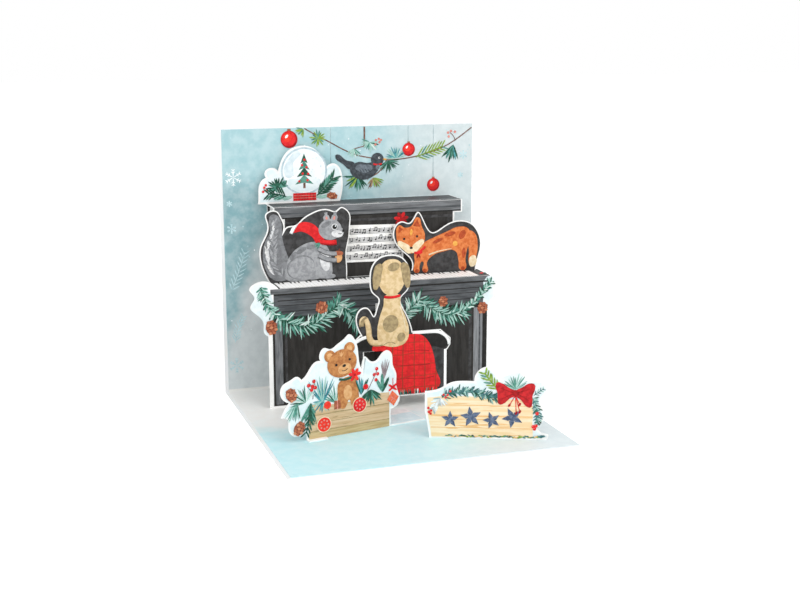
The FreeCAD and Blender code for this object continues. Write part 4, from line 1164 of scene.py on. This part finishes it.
class CARD_OT_print_stool(bpy.types.Operator):
    """Print the stool, its tartan cloth and the puppy seen from behind"""

    bl_idname = "card.print_stool"
    bl_label = "Print the stool and the puppy"

    def execute(self, context):
        art = Print("puppy_and_stool_print", upright(0, STOOL_FACE, 0), 61)
        puppy_low = (-14.0, 34.1)
        puppy_size = (29.0, 42.4)

        def at(points):
            """Shares of the puppy's width and height as millimetres of the plate."""
            return [(puppy_low[0] + u * puppy_size[0], puppy_low[1] + v * puppy_size[1]) for u, v in points]

        margin = context.scene.card_sizes.figure_edge / MM
        art.inner_field("charcoal", 0, "puppy_on_stool", margin)
        art.shape("line_black", 1, [
            (-14.9, 30.6), (-15.4, 34.0), (-11.4, 37.2), (10.0, 37.2), (29.0, 37.2), (33.4, 33.6),
            (33.2, 30.4), (31.0, 28.6), (26.0, 30.2),
        ], False)
        art.stroke(
            "plate_white", 2,
            [(15.0, 37.4), (22.0, 37.5), (29.2, 37.3), (33.9, 33.2), (33.9, 30.4)], 1.5,
        )
        art.stroke("plate_white", 2, [(-15.6, 33.6), (-11.2, 37.1), (-7.0, 37.3)], 1.7)
        art.block("plate_white", 2, 31.3, 0.9, 32.6, 28.2)
        art.block("charcoal", 0, -13.0, 30.0, 1.6, 31.0)
        art.shape("red", 2, [(-5.2, 30.2), (-4.4, 33.4), (-1.0, 34.8), (2.0, 33.0), (2.2, 30.2)])
        cloth = [
            (2.0, 36.9), (12.0, 37.0), (19.2, 36.4), (23.0, 33.0), (25.6, 26.9), (27.2, 18.4), (28.9, 9.8),
            (18.0, 8.6), (8.0, 8.4), (1.6, 8.8), (1.3, 22.0),
        ]
        art.shape(tartan_print(), 3, cloth)
        for points in (
            [(6.0, 30.0), (12.0, 28.4), (18.0, 29.2), (23.6, 28.0)], [
                (5.0, 22.6), (13.0, 21.0), (24.0, 21.4),
            ],
            [(3.6, 14.6), (12.0, 15.6), (20.0, 13.8), (26.0, 15.0)],
        ):
            art.stroke("red_dark", 4, points, 0.4, (0.4, 1.0))
        for k in range(34):
            x = 2.0 + k * 0.79
            ink = art.rng.choice(("red", "pine_mid", "pine_dark", "rose", "snow", "red"))
            art.needle(ink, 4, x, 9.8, 3.0, 0.6, 270 + art.rng.uniform(-14, 14))
        art.stroke("cream", 4, at([
            (0.5, 0.0), (0.32, -0.02), (0.24, 0.06), (0.24, 0.18), (0.18, 0.3), (0.1, 0.27),
            (0.12, 0.2),
        ]), 3.3, (1.0, 0.7))
        art.stroke("cream_patch", 5, at([(0.2, 0.3), (0.11, 0.29), (0.12, 0.2)]), 1.6, (0.6, 1.0))
        body = at([
            (0.42, 0.0), (0.385, 0.12), (0.42, 0.28), (0.49, 0.42), (0.53, 0.54), (0.76, 0.54),
            (0.79, 0.42), (0.88, 0.27), (0.935, 0.12), (0.9, 0.0), (0.8, -0.05), (0.55, -0.05),
        ])
        art.shape("cream", 4, body)
        art.dab("cream_patch", 5, *at([(0.615, 0.21)])[0], 8.6, 7.8, 70, 32)
        art.dab("cream_patch", 5, *at([(0.8, 0.045)])[0], 4.6, 4.0, 60, 24)
        art.stroke("cream_light", 5, at([(0.88, 0.1), (0.86, 0.26), (0.78, 0.4)]), 0.9, (0.4, 1.0))
        art.stroke("cream_patch", 5, at([(0.5, -0.03), (0.6, 0.02), (0.7, -0.03)]), 0.35)
        head = at([
            (0.4, 0.74), (0.44, 0.86), (0.52, 0.93), (0.63, 0.95), (0.75, 0.93), (0.83, 0.86),
            (0.87, 0.74), (0.82, 0.62), (0.72, 0.55), (0.55, 0.55), (0.45, 0.62),
        ])
        art.shape("cream", 5, head)
        left_ear = [
            (0.46, 0.9), (0.37, 0.89), (0.32, 0.8), (0.31, 0.68), (0.35, 0.61), (0.42, 0.66),
            (0.46, 0.78),
        ]
        art.shape("cream_patch", 6, at(left_ear))
        art.shape("cream_patch", 6, at([(1.27 - u, v) for u, v in left_ear]))
        art.dab("cream_patch", 6, *at([(0.67, 0.86)])[0], 6.0, 4.2, 15, 24)
        collar = at([(0.505, 0.525), (0.64, 0.5), (0.785, 0.53)])
        art.stroke("red", 6, collar, 1.3)
        art.trim("puppy_on_stool")
        art.finish()
        return {"FINISHED"}


class CARD_OT_print_crate(bpy.types.Operator):
    """Print the crate with its leaves, ornaments and teddy bear"""

    bl_idname = "card.print_crate"
    bl_label = "Print the crate"

    def execute(self, context):
        art = Print("crate_print", upright(*CRATE_FOOT, BASE_TOP, CRATE_TURN), 71)
        margin = context.scene.card_sizes.leaf_edge / MM
        art.inner_field("pale_wash", 0, "crate", margin, FOLD)
        wood = [
            (1.0, 0.15), (42.4, 0.15), (42.5, 16.4), (36.0, 16.9), (31.0, 15.2), (24.0, 14.8), (16.0, 15.6),
            (9.0, 14.9), (3.4, 16.4), (1.0, 15.8),
        ]
        art.shape("crate_wood", 1, wood, False)
        art.block("crate_shade", 2, 1.0, 0.15, 42.4, 3.6)
        for z, tall in ((3.6, 0.35), (7.4, 0.22), (11.1, 0.35)):
            art.block("crate_line", 3, 1.0, z, 42.4, z + tall)
        for _ in range(14):
            x = art.rng.uniform(3, 38)
            y = art.rng.uniform(0.8, 14)
            art.dab("crate_line", 2, x, y, art.rng.uniform(3, 8), 0.22, art.rng.uniform(-3, 3))
        self.add_leaves(art)
        self.add_bear(art)
        self.add_ornaments(art)
        art.finish()

        flap = Print("crate_flap_print", flat(BASE_TOP + CARD, *CRATE_FOOT, CRATE_TURN), 72)
        flap.block("flap_wash", 0, 14.4, 0.7, 61.6, 13.0)
        # Painted shade: the greyer back of the flap, under the stool, carries on the painted shade of the
        # fold.
        flap.block("flap_painted_shade", 0, 14.4, 12.9, 61.6, 20.6)
        flap.finish()
        return {"FINISHED"}

    def add_leaves(self, art):
        """Fir, spruce and twigs that stand up out of the crate and hang over it."""
        art.tuft(GREENS, 3, -4.6, 18.6, 254, 60, 9.6, 13, 0.62)
        art.tuft(DEEP_GREENS, 4, 2.2, 17.6, 262, 46, 12.6, 10, 0.8)
        art.sprig(DEEP_GREENS, 4, [(2.6, 17.0), (1.6, 10.0), (-0.4, 3.6)], 5.4, 36, 7, 0.8, "pine_dark")
        art.tuft(GREENS, 4, -0.4, 18.0, 112, 150, 8.4, 15, 0.6)
        art.tuft(TEALS, 4, 8.0, 16.4, 96, 74, 13.6, 11, 0.66)
        art.tuft(TEALS, 4, 8.0, 17.4, 250, 150, 6.4, 9, 0.7)
        art.tuft(GREENS, 4, 14.4, 15.8, 92, 120, 8.8, 11, 0.65)
        art.tuft(("spruce_teal", "pine_dark"), 4, 27.6, 17.4, 84, 56, 9.4, 8, 0.75)
        art.tuft(DEEP_GREENS, 5, 32.6, 19.2, 268, 110, 8.4, 13, 1.0)
        art.tuft(("twig_mauve",), 3, 39.6, 23.0, 86, 34, 10.0, 7, 0.55)
        for x, y, turn, ink in (
            (37.2, 20.6, 118, "pine_mid"), (40.4, 20.4, 62, "pine_dark"), (38.7, 22.2, 92, "pine_mid"),
        ):
            art.dab(ink, 4, x, y, 7.8, 1.7, turn, 8)
        art.stroke("twig_mauve", 3, [(31.0, 19.0), (33.6, 23.0), (36.0, 28.0)], 0.4)
        art.stroke("twig_mauve", 3, [(3.2, 19.0), (3.6, 24.0), (4.4, 28.0)], 0.4)
        art.cone(5, -7.4, 22.4, 5.2, 6.4, 25)
        art.cone(5, -3.8, 6.4, 5.2, 6.6, -30)
        art.berries(5, [(1.2, 25.6), (3.0, 25.0), (4.4, 24.2), (3.8, 27.2), (2.6, 23.4)], 0.85)
        art.berries(5, [(35.8, 28.6), (34.5, 26.0), (36.3, 26.1), (35.4, 23.4)], 0.8)

    def add_bear(self, art):
        """A sitting brown teddy bear with a green ribbon and a red bow."""
        body = [
            (16.6, 25.0), (15.6, 19.0), (16.4, 13.6), (18.6, 12.2), (20.2, 13.8), (21.4, 16.0),
            (22.6, 13.6), (24.4, 12.0), (26.0, 14.0), (26.2, 20.0), (24.4, 26.0),
        ]
        art.shape("bear_brown", 4, body)
        art.dab("bear_light", 5, 20.8, 19.6, 7.0, 4.4, 92, 20)
        for x, y in ((11.8, 37.6), (21.8, 40.2)):
            art.disc("bear_brown", 4, x, y, 2.7)
            art.disc("bear_light", 5, x, y, 1.5)
        art.dab("bear_brown", 5, 18.0, 33.6, 15.0, 12.8, 14, 40)
        art.dab("bear_light", 6, 19.2, 31.0, 6.8, 5.0, 14, 24)
        for x, y in ((15.0, 33.2), (21.8, 35.0)):
            art.disc("line_black", 7, x, y, 0.6)
        art.dab("line_black", 7, 19.0, 32.4, 1.9, 1.3, 14, 10)
        art.stroke("line_black", 7, [(17.8, 30.2), (19.2, 29.6), (20.8, 30.8)], 0.3)
        for turn in (55, 80, 105):
            art.needle("bear_light", 6, 17.4, 36.6, 2.6, 0.5, turn)
        art.stroke("pine_dark", 6, [(16.4, 26.4), (19.6, 25.2), (23.6, 26.8)], 1.1)
        for turn in (10, 60, 115, 170, 235, 300):
            art.needle("red" if turn % 20 else "red_bright", 7, 24.4, 27.4, 3.4, 1.7, turn)
        art.disc("red_dark", 8, 24.4, 27.4, 0.6)

    def add_ornaments(self, art):
        """Baubles, a small parcel and a hanging diamond on the crate."""
        art.disc("red_bright", 5, 10.4, 15.2, 1.8)
        art.block("cone_brown", 5, 13.8, 12.6, 17.0, 16.6)
        art.block("rose", 6, 15.2, 12.6, 15.6, 16.6)
        for x, y, ink in ((26.8, 12.8, "red"), (8.6, 6.4, "red_bright")):
            art.disc("cream_light", 5, x, y, 3.7)
            art.disc(ink, 6, x, y, 3.3)
            for k in range(9):
                turn = math.radians(k * 45)
                far = 2.0 if k < 8 else 0.0
                art.disc("rose", 7, x + math.cos(turn) * far, y + math.sin(turn) * far, 0.42)
        art.disc("red", 5, 30.0, 20.9, 1.3)
        art.stroke("red", 4, [(44.3, 23.0), (44.3, 17.6)], 0.3)
        for turn in (35, 145, 215, 325):
            art.needle("red", 5, 44.2, 18.6, 2.8, 1.1, turn)
        art.dab("coral", 5, 44.3, 13.4, 7.4, 6.2, 96, 4)
        for turn in (50, 140, 230, 320):
            art.needle("rose", 6, 44.3, 13.4, 1.9, 0.5, turn)


class CARD_OT_print_sign(bpy.types.Operator):
    """Print the plank sign with its garland, bow and stars"""

    bl_idname = "card.print_sign"
    bl_label = "Print the sign"

    def execute(self, context):
        art = Print("sign_print", upright(*SIGN_FOOT, BASE_TOP, SIGN_TURN), 81)
        margin = context.scene.card_sizes.leaf_edge / MM
        art.inner_field("pale_wash", 0, "sign", margin, FOLD)
        planks = [
            (1.1, 0.6), (46.6, 0.9), (46.2, 8.0), (46.6, 15.0), (44.0, 18.4), (30.0, 19.0), (16.0, 19.8),
            (6.0, 19.6), (-0.9, 18.8), (-0.7, 12.0),
        ]
        art.shape("sign_wood", 1, planks, False)
        for y, tall in ((10.3, 0.6), (4.9, 0.3), (15.4, 0.3)):
            art.block("sign_streak", 2, 0.8, y, 46.2, y + tall)
        for _ in range(14):
            x = art.rng.uniform(7, 39)
            y = art.rng.uniform(1.6, 18)
            art.dab(
                "sign_streak", 2, x, y, art.rng.uniform(5, 12), art.rng.uniform(0.25, 0.7),
                art.rng.uniform(-2, 2),
            )
        faded = ("worn_white", "pale_wash", "thread")
        art.sprig(faded, 3, [(5.4, 19.0), (3.0, 16.6), (1.6, 13.0)], 3.6, 38, 7, 0.7, "worn_white")
        art.tuft(faded, 3, 5.0, 18.6, 285, 70, 5.0, 6, 0.7)
        for k in range(4):
            x = 9.4 + k * 9.3
            y = 9.4 + (0.8 if k % 2 else -0.6)
            self.add_star(art, x, y, 4.9 if k % 2 else 4.1, k * 9)
        garland = [
            (5.6, 19.4), (9.0, 21.0), (13.6, 22.0), (18.8, 22.2), (23.4, 20.8), (27.0, 19.8),
            (31.0, 19.8),
        ]
        side = [(45.4, 19.6), (47.2, 17.0), (48.0, 13.6), (48.6, 10.4), (47.9, 7.0)]
        art.stroke("slate_green", 3, garland, 1.4)
        art.stroke("slate_green", 3, side, 1.2)
        art.garland(SLATE_GREENS, 4, garland, 3.6, 4.0, 44, 0.6)
        art.garland(SLATE_GREENS, 4, side, 3.2, 2.4, 24, 0.6)
        art.sprig(
            ("moss", "moss", "pine_mid"), 4, [(31.0, 22.8), (27.0, 27.0), (24.6, 30.8)], 5.2, 40,
            6, 0.85, "moss",
        )
        art.tuft(("pine_mid", "pine_light", "slate_green"), 4, 38.3, 23.4, 90, 146, 7.8, 13, 0.6)
        art.sprig(
            ("slate_green", "pine_light"), 4, [(46.6, 20.8), (48.8, 22.4), (51.0, 24.0)], 2.2, 45,
            4, 0.4, "slate_green",
        )
        art.berries(5, [(-0.4, 14.0), (-0.2, 12.2), (0.8, 12.8), (0.6, 11.4)], 0.6)
        art.berries(5, [(7.3, 19.0), (8.2, 20.2), (6.4, 20.3), (9.4, 22.0)], 0.55)
        art.berries(5, [(46.6, 6.2), (47.8, 6.6), (47.2, 5.2), (48.2, 12.4)], 0.8)
        for k in range(56):
            x = 8.0 + k * 0.77
            ink = art.rng.choice(("moss", "pine_mid", "slate_green", "pine_dark", "sign_streak"))
            y = 1.2 + art.rng.uniform(-0.4, 0.4)
            art.dab(
                ink, 4, x, y, art.rng.uniform(1.2, 2.6), art.rng.uniform(0.4, 0.8),
                art.rng.uniform(-25, 25),
            )
        art.dab("slate_green", 5, 50.4, 1.7, 3.4, 1.2, 8, 8)
        self.add_bow(art)
        art.trim("sign")
        art.finish()
        return {"FINISHED"}

    def add_star(self, art, x, y, radius, turn):
        """A plain five-pointed star in slate blue."""
        for k in range(5):
            aim = math.radians(90 + turn + k * 72)
            middle = (x + math.cos(aim) * radius * 0.42, y + math.sin(aim) * radius * 0.42)
            art.dab("slate", 3, *middle, radius * 1.16, radius * 0.5, math.degrees(aim), 4)

    def add_bow(self, art):
        """A red ribbon bow: two loops, a knot, and berries on stalks for tails."""
        left = [
            (38.4, 22.6), (36.0, 23.8), (32.6, 26.0), (30.2, 26.4), (29.6, 24.6), (30.4, 21.6), (30.6, 18.4),
            (31.2, 16.4), (33.0, 16.6), (36.0, 19.2), (38.4, 20.6),
        ]
        right = [
            (38.6, 22.6), (41.4, 24.4), (44.6, 26.2), (46.8, 25.8), (47.0, 23.6), (46.0, 20.4), (46.0, 17.4),
            (45.2, 15.2), (43.4, 15.6), (41.0, 18.4), (38.6, 20.6),
        ]
        for end in ((35.8, 16.0), (38.9, 12.4), (40.5, 13.0), (40.4, 16.4)):
            art.stroke("red", 5, [(38.4, 20.6), ((38.4 + end[0]) / 2, (20.6 + end[1]) / 2), end], 0.35)
            art.dab("red_dark", 6, *end, 1.8, 1.0, 60, 10)
        art.shape("bow_red", 6, left)
        art.shape("bow_red", 6, right)
        for points in (
            [(37.6, 21.8), (34.6, 22.8), (32.0, 23.8)], [(37.6, 21.2), (34.8, 20.2), (32.6, 19.0)],
            [(39.4, 21.8), (42.6, 23.0), (45.0, 23.6)], [(39.4, 21.2), (42.0, 20.0), (44.4, 18.2)],
        ):
            art.stroke("red_dark", 7, points, 0.6, (1.0, 0.3))
        art.dab("red_dark", 8, 38.5, 21.6, 3.2, 2.4, 90, 10)


# Lamps: name, place in metres, side in metres, power in watts.
LAMPS = (
    ("key_light", (0.8, -1.6, 1.3), 1.4, 11.5),
    ("fill_light", (-1.3, -1.4, 0.9), 1.4, 8.6),
    ("top_light", (-0.1, -0.7, 1.6), 1.6, 10.0),
)
LIT = (0.0, 0.0, 0.05)  # what the lamps point at
LENS = 56.52  # solved from the corners of the panels, as are the next two
CAMERA = (-0.17870, -0.54444, 0.18105)
CAMERA_AIM = (0.00665, 0.005975, 0.05559)
FLOOR_GLOW = 0.4  # how much the floor shines by itself, to the camera only
ROOM_LIGHT = 0.67  # strength of the light from all round


class CARD_OT_set_stage(bpy.types.Operator):
    """Set the floor, the studio light and the camera"""

    bl_idname = "card.set_stage"
    bl_label = "Set the stage"

    def execute(self, context):
        scene = context.scene
        scene.view_settings.view_transform = "Standard"
        self.add_floor(scene)
        self.light_world(scene)
        for name, place, size, power in LAMPS:
            lamp = bpy.data.lights.new(name, "AREA")
            lamp.size = size
            lamp.energy = power
            holder = bpy.data.objects.new(name, lamp)
            holder.location = place
            aim = Vector(LIT) - Vector(place)
            holder.rotation_euler = aim.to_track_quat("-Z", "Y").to_euler()
            scene.collection.objects.link(holder)
        camera = bpy.data.cameras.new("camera")
        camera.lens = LENS
        camera.sensor_width = 36.0
        camera.clip_start = 0.01
        holder = bpy.data.objects.new("camera", camera)
        holder.location = CAMERA
        aim = Vector(CAMERA_AIM) - holder.location
        holder.rotation_euler = aim.to_track_quat("-Z", "Y").to_euler()
        scene.collection.objects.link(holder)
        scene.camera = holder
        return {"FINISHED"}

    def add_floor(self, scene):
        """A plain white floor that keeps the card's soft shadow."""
        bm = bmesh.new()
        bmesh.ops.create_grid(bm, x_segments=1, y_segments=1, size=4.0)
        mesh = bpy.data.meshes.new("floor")
        bm.to_mesh(mesh)
        bm.free()
        material, tree = fresh_material("matt_white_studio_floor")
        surface = add_node(
            tree, "ShaderNodeBsdfPrincipled",
            inputs={"Base Color": linear("#FAFAFA"), "Roughness": 0.9, "Specular IOR Level": 0.1},
        )
        seen = add_node(tree, "ShaderNodeLightPath").outputs["Is Camera Ray"]
        glow = add_node(
            tree, "ShaderNodeEmission",
            inputs={"Color": (1.0, 1.0, 1.0, 1.0), "Strength": math_node(tree, "MULTIPLY", seen, FLOOR_GLOW)},
        )
        both = add_node(tree, "ShaderNodeAddShader", inputs={0: surface.outputs[0], 1: glow.outputs[0]})
        add_node(tree, "ShaderNodeOutputMaterial", inputs={"Surface": both.outputs[0]})
        mesh.materials.append(material)
        floor = bpy.data.objects.new("floor", mesh)
        scene.collection.objects.link(floor)

    def light_world(self, scene):
        """Soft light from all round, and white where the camera or a reflection looks past the card."""
        world = bpy.data.worlds.new("studio")
        world.use_nodes = True
        tree = world.node_tree
        tree.nodes.clear()
        rays = add_node(tree, "ShaderNodeLightPath").outputs
        seen = math_node(tree, "MAXIMUM", rays["Is Camera Ray"], rays["Is Glossy Ray"])
        seen = math_node(tree, "MAXIMUM", seen, rays["Is Transmission Ray"])
        strength = add_node(
            tree, "ShaderNodeMapRange", inputs={"Value": seen, "To Min": ROOM_LIGHT, "To Max": 1.0}
        ).outputs[0]
        sky = add_node(
            tree, "ShaderNodeBackground", inputs={"Color": (1.0, 1.0, 1.0, 1.0), "Strength": strength}
        )
        add_node(tree, "ShaderNodeOutputWorld", inputs={"Surface": sky.outputs[0]})
        scene.world = world


OPERATORS = (
    CARD_OT_finish_card, CARD_OT_print_back_panel, CARD_OT_print_upper_case,
    CARD_OT_print_lower_case, CARD_OT_print_snow_globe, CARD_OT_print_figures,
    CARD_OT_print_stool, CARD_OT_print_crate, CARD_OT_print_sign, CARD_OT_set_stage,
)


class CARD_PT_pieces(bpy.types.Panel):
    """The card's sizes and its pieces"""

    bl_idname = "CARD_PT_pieces"
    bl_label = "Pop-up card"
    bl_space_type = "VIEW_3D"
    bl_region_type = "UI"
    bl_category = "Card"

    def draw(self, context):
        for group in (context.scene.card_sizes, context.scene.card_colours):
            for key in group.__annotations__:
                self.layout.prop(group, key)
        for operator in OPERATORS:
            self.layout.operator(operator.bl_idname)


CLASSES = (CardSizes, CardColours, *OPERATORS, CARD_PT_pieces)


def register():
    for cls in CLASSES:
        bpy.utils.register_class(cls)
    bpy.types.Scene.card_sizes = bpy.props.PointerProperty(type=CardSizes)
    bpy.types.Scene.card_colours = bpy.props.PointerProperty(type=CardColours)


def unregister():
    del bpy.types.Scene.card_colours
    del bpy.types.Scene.card_sizes
    for cls in reversed(CLASSES):
        bpy.utils.unregister_class(cls)


def main():
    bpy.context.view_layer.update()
    register()
    bpy.ops.card.finish_card()
    bpy.ops.card.print_back_panel()
    bpy.ops.card.print_upper_case()
    bpy.ops.card.print_lower_case()
    bpy.ops.card.print_snow_globe()
    bpy.ops.card.print_figures()
    bpy.ops.card.print_stool()
    bpy.ops.card.print_crate()
    bpy.ops.card.print_sign()
    bpy.ops.card.set_stage()


if __name__ == "__main__":
    main()
